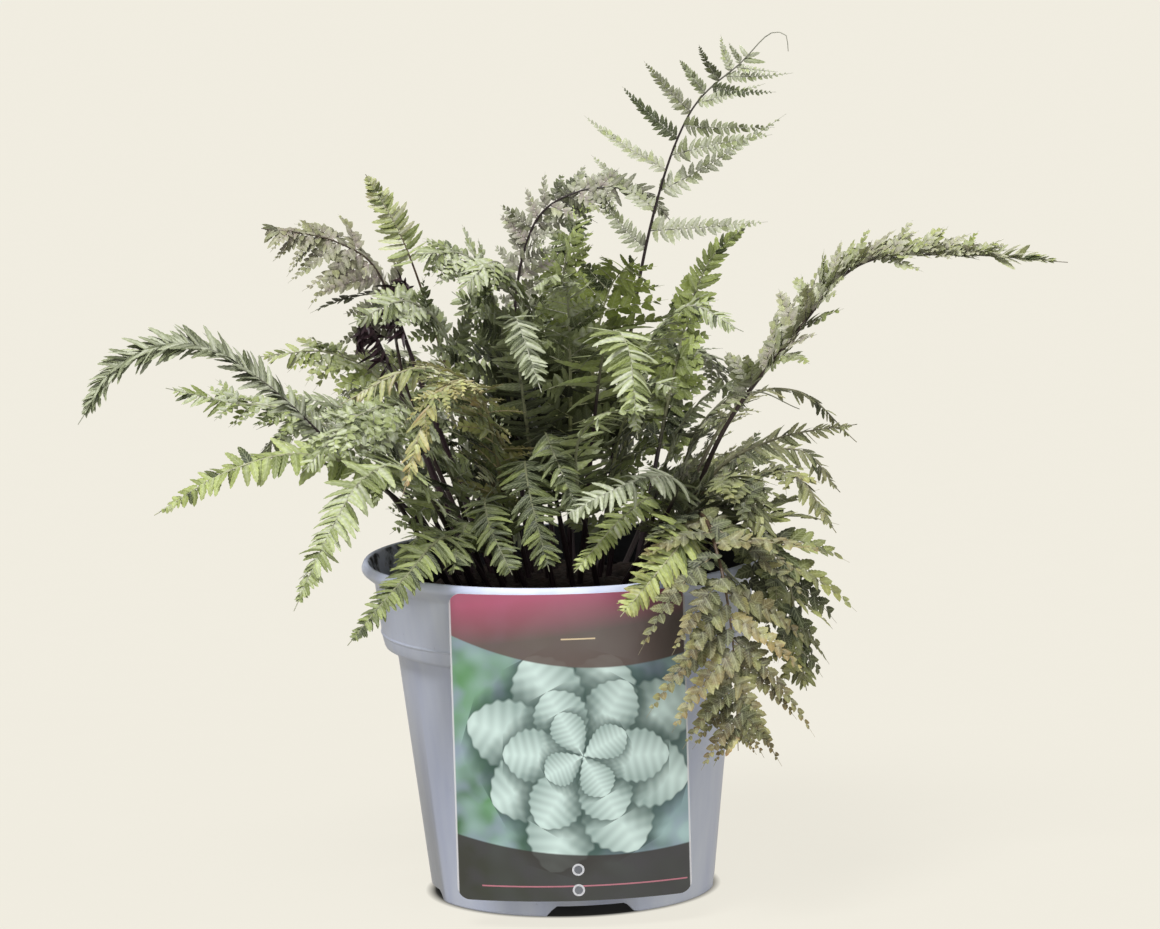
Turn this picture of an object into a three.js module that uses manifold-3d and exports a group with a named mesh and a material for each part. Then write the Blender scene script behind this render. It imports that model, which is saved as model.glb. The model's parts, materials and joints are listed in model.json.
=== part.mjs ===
// A Japanese painted fern (Athyrium niponicum) growing in a round nursery pot with a plant label.
// Millimetres, +Z up. The origin is the middle of the pot's foot, and the label faces -Y.
//
// The pot is one moulded shell. The compost fills it, and the rhizome lies half sunk in the compost.
// Every frond is one grown piece: a stalk that rises from the rhizome, with its leaflets on both sides.
import * as THREE from "three";
import { mergeVertices } from "three/addons/utils/BufferGeometryUtils.js";
import Module from "manifold-3d";

const wasm = await Module();
wasm.setup();

// ---------------------------------------------------------------- driving dimensions

const GAP = 0.3; // left between any two pieces that touch on the real plant

const POT = {
  height: 142,
  rimRadius: 85,
  rimDepth: 4.5,
  collarTopRadius: 79.6,
  collarFootRadius: 76.6,
  collarFoot: 106,
  shoulder: 100,
  shoulderRadius: 70.5,
  footRadius: 59.7,
  wall: 1.3,
  floor: 6, // height of the floor above the foot ring
  dimple: 9, // radius of the middle of the floor, which dips to the ground
  segments: 40,
};
const NOTCH = { count: 4, width: 38, topWidth: 30, height: 4.5, depth: 14, bearing: 7 };
const DRAIN = { count: 6, radius: 4.5, ring: 42 };

const COMPOST = { edge: 125, middle: 127.5, slack: 0.4 };

const LABEL = {
  width: 96,
  height: 127,
  foot: 12.5,
  bend: 110, // radius that the card is bowed to
  thickness: 0.5,
  corner: 5,
  shift: 0.6,
};
const TONGUE = { width: 14, thickness: 0.8, x: 4.8, z: 121, reach: 14.5, hook: 3.6 };
const EYELETS = { radius: 1.7, x: 2.2, heights: [25.5, 17] };

const STALK = { foot: 128.5, footRadius: 1.4, tipRadius: 0.5, steps: 5 };
const SPLAY = { foot: 74, tip: 42 }; // degrees between a leaflet and the stalk

// ---------------------------------------------------------------- solids

// A geometry's triangles as a solid, whichever way round its faces were made.
function solidOf(geometry) {
  const bare = new THREE.BufferGeometry();
  bare.setAttribute("position", geometry.getAttribute("position"));
  bare.setIndex(geometry.index);
  const merged = mergeVertices(bare, 1e-4);
  const vertProperties = new Float32Array(merged.attributes.position.array);
  const triVerts = new Uint32Array(merged.index.array);
  const solid = new wasm.Manifold(new wasm.Mesh({ numProp: 3, vertProperties, triVerts }));
  if (solid.volume() > 0) return solid;
  for (let i = 0; i < triVerts.length; i += 3) {
    [triVerts[i + 1], triVerts[i + 2]] = [triVerts[i + 2], triVerts[i + 1]];
  }
  return new wasm.Manifold(new wasm.Mesh({ numProp: 3, vertProperties, triVerts }));
}

function meshOf(name, solid, material) {
  const { numProp, vertProperties, triVerts } = solid.getMesh();
  const count = vertProperties.length / numProp;
  const positions = new Float32Array(count * 3);
  for (let i = 0; i < count; i++) {
    positions.set(vertProperties.subarray(i * numProp, i * numProp + 3), i * 3);
  }
  const geometry = new THREE.BufferGeometry();
  geometry.setAttribute("position", new THREE.BufferAttribute(positions, 3));
  geometry.setIndex(new THREE.BufferAttribute(new Uint32Array(triVerts), 1));
  geometry.computeVertexNormals();
  const mesh = new THREE.Mesh(geometry, material);
  mesh.name = name;
  return mesh;
}

// Two boxes, as manifold-3d gives them, share some space.
function meet(a, b) {
  return [0, 1, 2].every((k) => a.min[k] < b.max[k] && b.min[k] < a.max[k]);
}

// A body that others keep clear of, with its box kept beside it to save time.
function obstacle(solid) {
  return { solid, box: solid.boundingBox() };
}

function isClear(solid, obstacles) {
  const box = solid.boundingBox();
  return obstacles.every((other) => !meet(box, other.box) || solid.intersect(other.solid).isEmpty());
}

function cutBy(solid, others) {
  return others.reduce((left, other) => left.subtract(other), solid);
}

function largestPieceOf(solid) {
  return solid.decompose().reduce((best, piece) => (piece.volume() > best.volume() ? piece : best));
}

// A solid skinned over rings of points, all of the same count, with a flat cap on the first and the last.
function skinned(rings) {
  const sides = rings[0].length;
  const index = [];
  for (let i = 0; i < rings.length - 1; i++) {
    for (let j = 0; j < sides; j++) {
      const a = i * sides + j;
      const b = i * sides + ((j + 1) % sides);
      index.push(a, b, b + sides, a, b + sides, a + sides);
    }
  }
  const last = (rings.length - 1) * sides;
  for (let j = 1; j < sides - 1; j++) {
    index.push(0, j + 1, j, last, last + j, last + j + 1);
  }
  const positions = rings.flat().flatMap((point) => point.toArray());
  const geometry = new THREE.BufferGeometry();
  geometry.setAttribute("position", new THREE.Float32BufferAttribute(positions, 3));
  geometry.setIndex(index);
  return solidOf(geometry);
}

// A solid turned about +Z from a profile of [radius, height] points that closes on itself or on the axis.
function turned(profile, segments) {
  const geometry = new THREE.LatheGeometry(
    profile.map(([radius, height]) => new THREE.Vector2(radius, height)),
    segments,
  );
  return solidOf(geometry.rotateX(Math.PI / 2));
}

function block(width, depth, height, x, y, z) {
  return solidOf(new THREE.BoxGeometry(width, depth, height).translate(x, y, z));
}

// ---------------------------------------------------------------- the pot

// One foot notch: a trapezium on edge, run in through the foot ring.
function footNotch(index) {
  const bearing = NOTCH.bearing + (index * 360) / NOTCH.count;
  const outline = new THREE.Shape([
    new THREE.Vector2(-NOTCH.width / 2, -1),
    new THREE.Vector2(NOTCH.width / 2, -1),
    new THREE.Vector2(NOTCH.topWidth / 2, NOTCH.height),
    new THREE.Vector2(-NOTCH.topWidth / 2, NOTCH.height),
  ]);
  const geometry = new THREE.ExtrudeGeometry(outline, { depth: NOTCH.depth, bevelEnabled: false });
  geometry.rotateX(Math.PI / 2).translate(0, -POT.footRadius + NOTCH.depth / 2, 0);
  return solidOf(geometry.rotateZ(THREE.MathUtils.degToRad(bearing)));
}

function drainHole(index) {
  const angle = ((index + 0.5) / DRAIN.count) * 2 * Math.PI;
  const geometry = new THREE.CylinderGeometry(DRAIN.radius, DRAIN.radius, 8, 14).rotateX(Math.PI / 2);
  geometry.translate(DRAIN.ring * Math.cos(angle), DRAIN.ring * Math.sin(angle), POT.floor);
  return solidOf(geometry);
}

// Outer radius of the flared collar at a height.
function collarRadius(z) {
  const top = POT.height - POT.rimDepth - 4;
  const share = (z - POT.collarFoot) / (top - POT.collarFoot);
  return THREE.MathUtils.lerp(POT.collarFootRadius, POT.collarTopRadius, share);
}

// The slot in the collar that takes the label's tongue.
function labelSlot() {
  const height = TONGUE.thickness + 2 * GAP;
  return block(TONGUE.width + 2, 8, height, TONGUE.x, -collarRadius(TONGUE.z) + 1, TONGUE.z);
}

function makePot() {
  const { wall, floor, dimple, height, rimRadius, rimDepth, shoulder, shoulderRadius, footRadius } = POT;
  const rimFoot = height - rimDepth;
  const shell = turned(
    [
      [0, 0],
      [dimple, 0],
      [dimple + 2.5, floor],
      [footRadius - 2.6 * wall, floor],
      [footRadius - 1.6 * wall, 0],
      [footRadius, 0],
      [shoulderRadius, shoulder],
      [shoulderRadius + 0.9, POT.collarFoot - 1.4],
      [collarRadius(POT.collarFoot) - 0.6, POT.collarFoot],
      [collarRadius(rimFoot - 4), rimFoot - 4],
      [rimRadius - 0.6, rimFoot],
      [rimRadius, rimFoot + 1.4],
      [rimRadius - 1.2, height],
      [rimRadius - 3.4, height - 0.5],
      [collarRadius(rimFoot - 4) - wall, rimFoot - 5],
      [collarRadius(POT.collarFoot) - wall - 0.4, POT.collarFoot + 2],
      [shoulderRadius - wall, shoulder],
      [footRadius - wall + 0.3, floor + 1.6],
      [footRadius - wall - 1.2, floor + wall],
      [dimple + 1.9, floor + wall],
      [dimple - 0.6, wall],
      [0, wall],
    ],
    POT.segments,
  );
  const notches = Array.from({ length: NOTCH.count }, (_, i) => footNotch(i));
  const drains = Array.from({ length: DRAIN.count }, (_, i) => drainHole(i));
  return cutBy(shell, [...notches, ...drains, labelSlot()]);
}

// ---------------------------------------------------------------- the label

// The card is cut out of a bowed sheet. A tongue runs back from it, through the collar's slot, and turns up
// inside the pot.
function makeLabel() {
  const { width, height, foot, corner, bend, thickness, shift } = LABEL;
  const front = POT.rimRadius + GAP + thickness;
  const right = width / 2;
  const top = foot + height;
  const outline = new THREE.Shape();
  outline.absarc(right - corner, foot + corner, corner, -Math.PI / 2, 0);
  outline.absarc(right - corner, top - corner, corner, 0, Math.PI / 2);
  outline.absarc(-right + corner, top - corner, corner, Math.PI / 2, Math.PI);
  outline.absarc(-right + corner, foot + corner, corner, Math.PI, 1.5 * Math.PI);
  for (const z of EYELETS.heights) {
    outline.holes.push(new THREE.Path().absarc(EYELETS.x - shift, z, EYELETS.radius, 0, 2 * Math.PI));
  }
  const cutter = new THREE.ExtrudeGeometry(outline, { depth: 30, bevelEnabled: false, curveSegments: 4 });
  const sheet = turned(
    [
      [bend - thickness, 0],
      [bend, 0],
      [bend, POT.height + 10],
      [bend - thickness, POT.height + 10],
      [bend - thickness, 0],
    ],
    80,
  );
  const card = sheet
    .translate([0, bend - front, 0])
    .intersect(solidOf(cutter.rotateX(Math.PI / 2).translate(0, -front + 20, 0)))
    .translate([shift, 0, 0]);
  const tongueBack = -front + thickness / 2 + TONGUE.reach;
  const tongue = block(
    TONGUE.width,
    TONGUE.reach,
    TONGUE.thickness,
    TONGUE.x,
    tongueBack - TONGUE.reach / 2,
    TONGUE.z,
  );
  const hook = block(
    TONGUE.width,
    TONGUE.thickness,
    TONGUE.hook,
    TONGUE.x,
    tongueBack - TONGUE.thickness / 2,
    TONGUE.z + (TONGUE.hook - TONGUE.thickness) / 2,
  );
  return card.add(tongue).add(hook);
}

// ---------------------------------------------------------------- rhizome and compost

// The rhizome creeps just under the surface, as a chain of knobs: [x, y, radius along x, along y, along z].
const RHIZOME_MIDDLE = 126;
const KNOBS = [
  [-38, 4, 21, 20, 8],
  [-32, -16, 22, 16, 7.5],
  [-26, 26, 22, 17, 8.5],
  [-8, -12, 22, 20, 8.5],
  [2, 24, 24, 18, 9],
  [18, -14, 24, 18, 8],
  [30, 20, 22, 18, 8.5],
  [40, -4, 18, 22, 8],
  [0, 6, 24, 16, 8.5],
];

function rhizomeSwollenBy(extra) {
  const knobs = KNOBS.map(([x, y, rx, ry, rz]) =>
    solidOf(
      new THREE.SphereGeometry(1, 9, 5)
        .rotateX(Math.PI / 2)
        .scale(rx + extra, ry + extra, rz + extra)
        .translate(x, y, RHIZOME_MIDDLE),
    ),
  );
  return knobs.reduce((all, knob) => all.add(knob));
}

function makeCompost(rhizomeRoom) {
  const { wall, floor, dimple, shoulder, shoulderRadius, collarFoot, footRadius } = POT;
  const { edge, middle, slack } = COMPOST;
  const inset = wall + slack;
  const body = turned(
    [
      [0, inset],
      [dimple - 1.2, inset],
      [dimple + 1.3, floor + inset],
      [footRadius - inset - 1.4, floor + inset],
      [footRadius - inset, floor + inset + 1.4],
      [shoulderRadius - inset, shoulder],
      [shoulderRadius - inset, collarFoot],
      [collarRadius(collarFoot + 4) - inset - 1, collarFoot + 4],
      [collarRadius(edge - 2) - inset, edge - 2],
      [collarRadius(edge) - inset - 2, edge],
      [40, (edge + middle) / 2],
      [0, middle],
    ],
    POT.segments,
  );
  const hookRoomHeight = 14;
  const hookRoom = block(
    TONGUE.width + 3,
    12,
    hookRoomHeight,
    TONGUE.x,
    -POT.rimRadius + TONGUE.reach - 4,
    TONGUE.z - TONGUE.thickness / 2 - COMPOST.slack + hookRoomHeight / 2,
  );
  return largestPieceOf(cutBy(body, [rhizomeRoom, hookRoom]));
}

// ---------------------------------------------------------------- the fronds

// Each frond:
//   route   its stalk's foot in the rhizome, [x, y], and then the points up to its tip, [x, y, z]
//   blade   share of the stalk below the first leaflets
//   pairs   pairs of leaflets
//   reach   length of the longest leaflet
//   turn    degrees that the blade is twisted about its stalk
//   lift    degrees that the leaflets stand above the blade's plane, or hang below it
const FRONDS = [
  {
    name: "frond_top",
    route: [[15, 14], [24, 30, 190], [39, 22, 271], [57, 12, 323], [81, 5, 346], [99, 0, 350]],
    blade: 0.44, pairs: 10, reach: 40, turn: 80, lift: 6,
  },
  {
    name: "frond_crest",
    route: [[-6, 26], [-18, 40, 222], [-10, 38, 274], [11, 34, 291], [37, 30, 290], [50, 28, 277]],
    blade: 0.45, pairs: 9, reach: 30, turn: 60, lift: 0,
  },
  {
    name: "frond_right_reach",
    route: [[42, -6], [66, -15, 191], [98, -20, 234], [126, -22, 263], [167, -25, 266], [211, -28, 262]],
    blade: 0.36, pairs: 10, reach: 27, turn: 15, lift: 30,
  },
  {
    name: "frond_left_reach",
    route: [
      [-42, -4], [-62, -13, 162], [-89, -20, 188], [-122, -28, 222],
      [-151, -32, 239], [-180, -36, 232], [-198, -38, 208],
    ],
    blade: 0.28, pairs: 12, reach: 22, turn: -25, lift: 12,
  },
  {
    name: "frond_left_crown",
    route: [[-33, 20], [-63, 35, 204], [-73, 35, 255], [-92, 30, 273], [-123, 26, 280]],
    blade: 0.42, pairs: 8, reach: 30, turn: -30, lift: -12,
  },
  {
    name: "frond_left_upright",
    route: [[-22, 30], [-46, 47, 211], [-63, 46, 268], [-79, 42, 300]],
    blade: 0.32, pairs: 11, reach: 22, turn: -85, lift: 4,
  },
  {
    name: "frond_left_mid",
    route: [[-46, 6], [-72, 15, 177], [-109, 10, 203], [-140, 5, 210], [-164, 0, 217]],
    blade: 0.36, pairs: 8, reach: 26, turn: -40, lift: -8,
  },
  {
    name: "frond_left_back",
    route: [[-36, 28], [-68, 52, 200], [-95, 56, 222], [-128, 55, 222]],
    blade: 0.3, pairs: 7, reach: 28, turn: -40, lift: -10,
  },
  {
    name: "frond_left_low",
    route: [[-46, -12], [-74, -44, 180], [-104, -60, 196], [-135, -65, 191], [-166, -68, 174]],
    blade: 0.4, pairs: 8, reach: 26, turn: -25, lift: -8,
  },
  {
    name: "frond_front_left",
    route: [[-35, -22], [-59, -64, 186], [-79, -88, 190], [-95, -100, 167], [-109, -104, 139]],
    blade: 0.3, pairs: 11, reach: 25, turn: -5, lift: 0,
  },
  {
    name: "frond_rim_left",
    route: [[-28, -26], [-46, -60, 160], [-65, -88, 148], [-88, -102, 124]],
    blade: 0.26, pairs: 9, reach: 22, turn: 0, lift: 0,
  },
  {
    name: "frond_front_dark",
    route: [[-15, -20], [-30, -46, 172], [-30, -66, 166], [-21, -80, 147]],
    blade: 0.2, pairs: 11, reach: 18, turn: 0, lift: 0,
  },
  {
    name: "frond_front_mid",
    route: [[-4, -22], [-14, -46, 186], [-13, -68, 178], [-6, -80, 148]],
    blade: 0.2, pairs: 11, reach: 20, turn: 0, lift: 0,
  },
  {
    name: "frond_rim_right",
    route: [[34, -20], [54, -58, 166], [62, -87, 155], [67, -102, 121], [68, -106, 77]],
    blade: 0.24, pairs: 8, reach: 46, turn: 0, lift: -4,
  },
  {
    name: "frond_front_blue",
    route: [[22, -24], [47, -55, 176], [31, -78, 184], [0, -89, 172]],
    blade: 0.3, pairs: 11, reach: 20, turn: 0, lift: 0,
  },
  {
    name: "frond_front_lime",
    route: [[28, -24], [50, -66, 160], [44, -92, 156], [22, -105, 133]],
    blade: 0.3, pairs: 10, reach: 20, turn: 0, lift: 0,
  },
  {
    name: "frond_right_mid",
    route: [[46, 4], [62, 5, 171], [90, 0, 188], [124, -5, 194]],
    blade: 0.3, pairs: 8, reach: 18, turn: 40, lift: -6,
  },
  {
    name: "frond_right_back",
    route: [[42, 16], [72, 30, 171], [101, 34, 178], [118, 30, 160]],
    blade: 0.28, pairs: 8, reach: 28, turn: 40, lift: -8,
  },
  {
    name: "frond_right_bright",
    route: [[30, 24], [50, 44, 215], [64, 45, 256], [83, 42, 275]],
    blade: 0.32, pairs: 8, reach: 24, turn: 60, lift: 0,
  },
  {
    name: "frond_autumn_arch",
    route: [[-25, -12], [-33, -45, 212], [-56, -75, 232], [-88, -86, 220]],
    blade: 0.24, pairs: 11, reach: 27, turn: -10, lift: -22,
  },
  {
    name: "frond_autumn_tip",
    route: [[-19, -10], [-31, -58, 216], [-50, -90, 222], [-64, -104, 184]],
    blade: 0.24, pairs: 11, reach: 24, turn: 0, lift: 0,
  },
  {
    name: "frond_middle_pale",
    route: [[6, -14], [18, -60, 232], [28, -84, 240], [31, -98, 204]],
    blade: 0.22, pairs: 13, reach: 26, turn: 0, lift: 0,
  },
  {
    name: "frond_middle_blue",
    route: [[-6, -10], [-15, -40, 216], [-17, -64, 250], [-7, -84, 222]],
    blade: 0.22, pairs: 11, reach: 22, turn: 0, lift: 0,
  },
  {
    name: "frond_middle_low",
    route: [[14, -20], [6, -62, 190], [16, -88, 212], [38, -102, 216]],
    blade: 0.2, pairs: 10, reach: 20, turn: 0, lift: 0,
  },
  {
    name: "frond_silver_top",
    route: [[-10, 6], [-12, 10, 230], [-23, -6, 266], [-40, -32, 258]],
    blade: 0.28, pairs: 12, reach: 30, turn: 0, lift: -10,
  },
  {
    name: "frond_right_inner",
    route: [[36, -8], [56, -30, 195], [78, -44, 214], [98, -54, 208]],
    blade: 0.2, pairs: 10, reach: 26, turn: 20, lift: -10,
  },
  {
    name: "frond_right_low",
    route: [[44, -14], [74, -34, 160], [90, -50, 145], [98, -60, 92]],
    blade: 0.26, pairs: 8, reach: 32, turn: 15, lift: 0,
  },
  {
    name: "frond_high_left",
    route: [[-18, 12], [-41, 14, 220], [-60, 0, 250], [-86, -20, 244]],
    blade: 0.2, pairs: 12, reach: 29, turn: -20, lift: -10,
  },
  {
    name: "frond_high_right",
    route: [[18, 4], [32, -8, 215], [52, -28, 248], [76, -50, 240]],
    blade: 0.2, pairs: 12, reach: 29, turn: 10, lift: -10,
  },
  {
    name: "frond_mid_left",
    route: [[-32, -6], [-54, -32, 203], [-80, -58, 212], [-106, -76, 190]],
    blade: 0.2, pairs: 12, reach: 28, turn: -5, lift: -8,
  },
  {
    name: "frond_high_middle",
    route: [[2, -4], [5, -28, 232], [2, -52, 264], [-12, -74, 262]],
    blade: 0.2, pairs: 13, reach: 28, turn: 0, lift: -10,
  },
  {
    name: "frond_back_left",
    route: [[-26, 34], [-52, 74, 205], [-76, 100, 216], [-98, 112, 186]],
    blade: 0.28, pairs: 11, reach: 32, turn: 0, lift: -8,
  },
  {
    name: "frond_back_middle",
    route: [[-12, 34], [-14, 78, 220], [-18, 106, 226], [-24, 120, 194]],
    blade: 0.28, pairs: 11, reach: 34, turn: 0, lift: -6,
  },
  {
    name: "frond_back_right",
    route: [[14, 30], [36, 72, 205], [60, 98, 214], [82, 110, 184]],
    blade: 0.28, pairs: 11, reach: 32, turn: 0, lift: -8,
  },
  {
    name: "frond_far_right",
    route: [[38, 22], [72, 58, 190], [102, 74, 198], [128, 80, 174]],
    blade: 0.3, pairs: 9, reach: 30, turn: 0, lift: -8,
  },
  {
    name: "frond_far_left",
    route: [[-44, 14], [-80, 48, 184], [-108, 70, 194], [-134, 82, 172]],
    blade: 0.3, pairs: 9, reach: 30, turn: 0, lift: -8,
  },
  {
    name: "frond_back_high",
    route: [[4, 22], [2, 44, 230], [8, 62, 272], [24, 80, 290]],
    blade: 0.32, pairs: 12, reach: 32, turn: 0, lift: -6,
  },
  {
    name: "frond_rim_back_right",
    route: [[24, 28], [46, 82, 162], [56, 104, 148], [64, 112, 108]],
    blade: 0.28, pairs: 9, reach: 28, turn: 0, lift: 0,
  },
  {
    name: "frond_rim_back_left",
    route: [[-20, 36], [-32, 86, 162], [-40, 106, 146], [-48, 113, 106]],
    blade: 0.28, pairs: 9, reach: 28, turn: 0, lift: 0,
  },
  {
    name: "frond_low_left",
    route: [[-38, -10], [-50, -30, 165], [-66, -46, 186], [-84, -56, 178]],
    blade: 0.22, pairs: 9, reach: 24, turn: -5, lift: -6,
  },
  {
    name: "frond_low_front_left",
    route: [[-24, -18], [-36, -46, 162], [-42, -62, 160], [-45, -76, 148]],
    blade: 0.2, pairs: 9, reach: 16, turn: 0, lift: 0,
  },
  {
    name: "frond_inner_left",
    route: [[-14, -2], [-26, -14, 190], [-40, -28, 214], [-58, -42, 218]],
    blade: 0.18, pairs: 10, reach: 26, turn: -10, lift: -8,
  },
  {
    name: "frond_inner_middle",
    route: [[14, -2], [24, -18, 192], [36, -34, 216], [48, -52, 218]],
    blade: 0.18, pairs: 10, reach: 26, turn: 10, lift: -8,
  },
  {
    name: "frond_inner_right",
    route: [[30, 6], [46, 4, 184], [62, -4, 208], [80, -12, 214]],
    blade: 0.3, pairs: 9, reach: 22, turn: 30, lift: -8,
  },
  {
    name: "frond_inner_back",
    route: [[-4, 14], [-8, 22, 200], [-22, 30, 232], [-44, 34, 250]],
    blade: 0.32, pairs: 9, reach: 28, turn: -20, lift: -6,
  },
  {
    name: "frond_inner_high",
    route: [[8, 10], [14, 10, 214], [22, 2, 252], [34, -16, 268]],
    blade: 0.34, pairs: 9, reach: 28, turn: 20, lift: -6,
  },
  {
    name: "frond_low_right",
    route: [[49, -6], [76, -22, 172], [96, -38, 178], [112, -52, 156]],
    blade: 0.22, pairs: 10, reach: 26, turn: 10, lift: -4,
  },
  {
    name: "frond_low_right_front",
    route: [[36, -14], [58, -40, 174], [74, -62, 178], [86, -78, 150]],
    blade: 0.2, pairs: 10, reach: 26, turn: 5, lift: -2,
  },
  {
    name: "frond_inner_far_left",
    route: [[-42, 8], [-64, 2, 180], [-84, -8, 204], [-108, -14, 214]],
    blade: 0.32, pairs: 9, reach: 26, turn: -30, lift: -8,
  },
  {
    name: "frond_front_fan",
    route: [[4, -20], [-6, -46, 196], [-2, -66, 192], [8, -86, 168]],
    blade: 0.24, pairs: 9, reach: 18, turn: 0, lift: 0,
  },
  {
    name: "frond_low_lime",
    route: [[30, -10], [38, -34, 168], [24, -62, 166], [4, -84, 148]],
    blade: 0.3, pairs: 7, reach: 14, turn: 0, lift: 0,
  },
  {
    name: "frond_low_rim_left",
    route: [[-42, -18], [-54, -40, 158], [-60, -52, 158], [-66, -64, 148]],
    blade: 0.3, pairs: 6, reach: 14, turn: 0, lift: 0,
  },
  {
    name: "frond_crown_left",
    route: [[-14, 20], [-22, 16, 226], [-34, 4, 266], [-58, -14, 272]],
    blade: 0.34, pairs: 9, reach: 28, turn: 0, lift: -8,
  },
  {
    name: "withered_frond_tall",
    route: [[-28, 14], [-52, 24, 195], [-68, 27, 246], [-64, 25, 256], [-57, 22, 240]],
    blade: 0.72, pairs: 4, reach: 12, turn: 60, lift: -40,
  },
  {
    name: "withered_frond_short",
    route: [[-38, 10], [-62, 22, 196], [-80, 23, 240], [-85, 21, 226]],
    blade: 0.74, pairs: 4, reach: 11, turn: 60, lift: -40,
  },
];

// A frond's spine: gives, at a share of its length, the point on it, its direction, the blade's upper side
// and the way to the blade's right. The upper side faces the plant's middle at the foot and rolls over with
// the arch, so that an arching blade looks up and a hanging one looks out.
const SPINE_STEPS = 60;

function spineOf(frond) {
  const [[footX, footY], ...rest] = frond.route;
  const points = [new THREE.Vector3(footX, footY, STALK.foot), ...rest.map((p) => new THREE.Vector3(...p))];
  const curve = new THREE.CatmullRomCurve3(points, false, "catmullrom", 0.5);
  const { tangents, normals, binormals } = curve.computeFrenetFrames(SPINE_STEPS, false);
  const inward = points[0].clone().sub(points.at(-1)).setZ(0);
  const square = Math.atan2(inward.dot(binormals[0]), inward.dot(normals[0]));
  const angle = square + THREE.MathUtils.degToRad(frond.turn);
  return (share) => {
    const i = Math.round(share * SPINE_STEPS);
    const up = normals[i].clone().multiplyScalar(Math.cos(angle));
    up.addScaledVector(binormals[i], Math.sin(angle));
    const right = new THREE.Vector3().crossVectors(tangents[i], up);
    return { middle: curve.getPointAt(share), along: tangents[i], up, right };
  };
}

function stalkRadius(share) {
  return THREE.MathUtils.lerp(STALK.footRadius, STALK.tipRadius, share);
}

// Share of the whole length at q, which runs from 0 at the blade's foot to 1 at its tip. Leaflets crowd at
// the tip.
function bladeShare(frond, q) {
  return frond.blade + (1 - frond.blade) * (1 - (1 - q) ** 1.25);
}

// The longest leaflets are a little above the foot of the blade.
function leafletLength(frond, q) {
  const outline = (0.72 + 0.28 * Math.min(1, q / 0.18)) * (1 - q) ** 0.8 + 0.07;
  return frond.reach * outline;
}

// The tip of a leaflet on the left (-1) or the right (1), splayed off the stalk and lifted off the blade.
function leafletTip(frond, spine, q, side, length) {
  const { middle, along, up, right } = spine(bladeShare(frond, q));
  const splay = THREE.MathUtils.degToRad(THREE.MathUtils.lerp(SPLAY.foot, SPLAY.tip, q));
  const lift = THREE.MathUtils.degToRad(frond.lift);
  return middle
    .clone()
    .addScaledVector(along, length * Math.cos(splay) * Math.cos(lift))
    .addScaledVector(right, side * length * Math.sin(splay) * Math.cos(lift))
    .addScaledVector(up, length * Math.sin(lift));
}

// Four points round the stalk, swollen by extra: left, top, right, bottom.
function stalkRing(spine, share, extra) {
  const { middle, up, right } = spine(share);
  const radius = stalkRadius(share) + extra;
  return [
    middle.clone().addScaledVector(right, -radius),
    middle.clone().addScaledVector(up, radius),
    middle.clone().addScaledVector(right, radius),
    middle.clone().addScaledVector(up, -radius),
  ];
}

function bareStalk(spine, extra) {
  const steps = 4 * STALK.steps;
  return skinned(Array.from({ length: steps + 1 }, (_, i) => stalkRing(spine, i / steps, extra)));
}

// The wedge of space that a leaflet takes, with the gap all round it.
function leafletRoom(frond, spine, k, side, length) {
  const q = (k + 0.5) / frond.pairs;
  const before = spine(bladeShare(frond, k / frond.pairs));
  const after = spine(bladeShare(frond, (k + 1) / frond.pairs));
  const { along, up } = spine(bladeShare(frond, q));
  const tip = leafletTip(frond, spine, q, side, length + 3 * GAP);
  const root = stalkRadius(frond.blade) + GAP;
  const moved = (point, forward, height) => {
    return point.clone().addScaledVector(along, forward).addScaledVector(up, height);
  };
  return skinned([
    [
      moved(before.middle, -GAP, root),
      moved(before.middle, -GAP, -root),
      moved(after.middle, GAP, -root),
      moved(after.middle, GAP, root),
    ],
    [moved(tip, -GAP, GAP), moved(tip, -GAP, -GAP), moved(tip, GAP, -GAP), moved(tip, GAP, GAP)],
  ]);
}

// How much of each leaflet grows: as much of its length as keeps clear of the obstacles.
const GROWTHS = [1, 0.85, 0.7, 0.55, 0.42, 0.3, 0.2];

function grownLengths(frond, spine, obstacles) {
  const rooms = [];
  const lengths = Array.from({ length: frond.pairs }, (_, k) => {
    const full = leafletLength(frond, (k + 0.5) / frond.pairs);
    return [-1, 1].map((side) => {
      for (const growth of GROWTHS) {
        const room = leafletRoom(frond, spine, k, side, growth * full);
        if (!isClear(room, obstacles)) continue;
        rooms.push(obstacle(room));
        return growth * full;
      }
      return 0;
    });
  });
  return { lengths, rooms };
}

// The whole frond as one skin, with a ring round the stalk between leaflets, and a ring drawn out to both
// leaflet tips at each pair.
function frondSolid(frond, spine, lengths) {
  const rings = [];
  for (let i = 0; i < STALK.steps; i++) rings.push(stalkRing(spine, (frond.blade * i) / STALK.steps, 0));
  lengths.forEach(([left, right], k) => {
    rings.push(stalkRing(spine, bladeShare(frond, k / frond.pairs), 0));
    const q = (k + 0.5) / frond.pairs;
    const ring = stalkRing(spine, bladeShare(frond, q), 0);
    if (left > 0) ring[0] = leafletTip(frond, spine, q, -1, left);
    if (right > 0) ring[2] = leafletTip(frond, spine, q, 1, right);
    rings.push(ring);
  });
  rings.push(stalkRing(spine, 1, 0));
  return skinned(rings);
}

// ---------------------------------------------------------------- assembly

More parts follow.
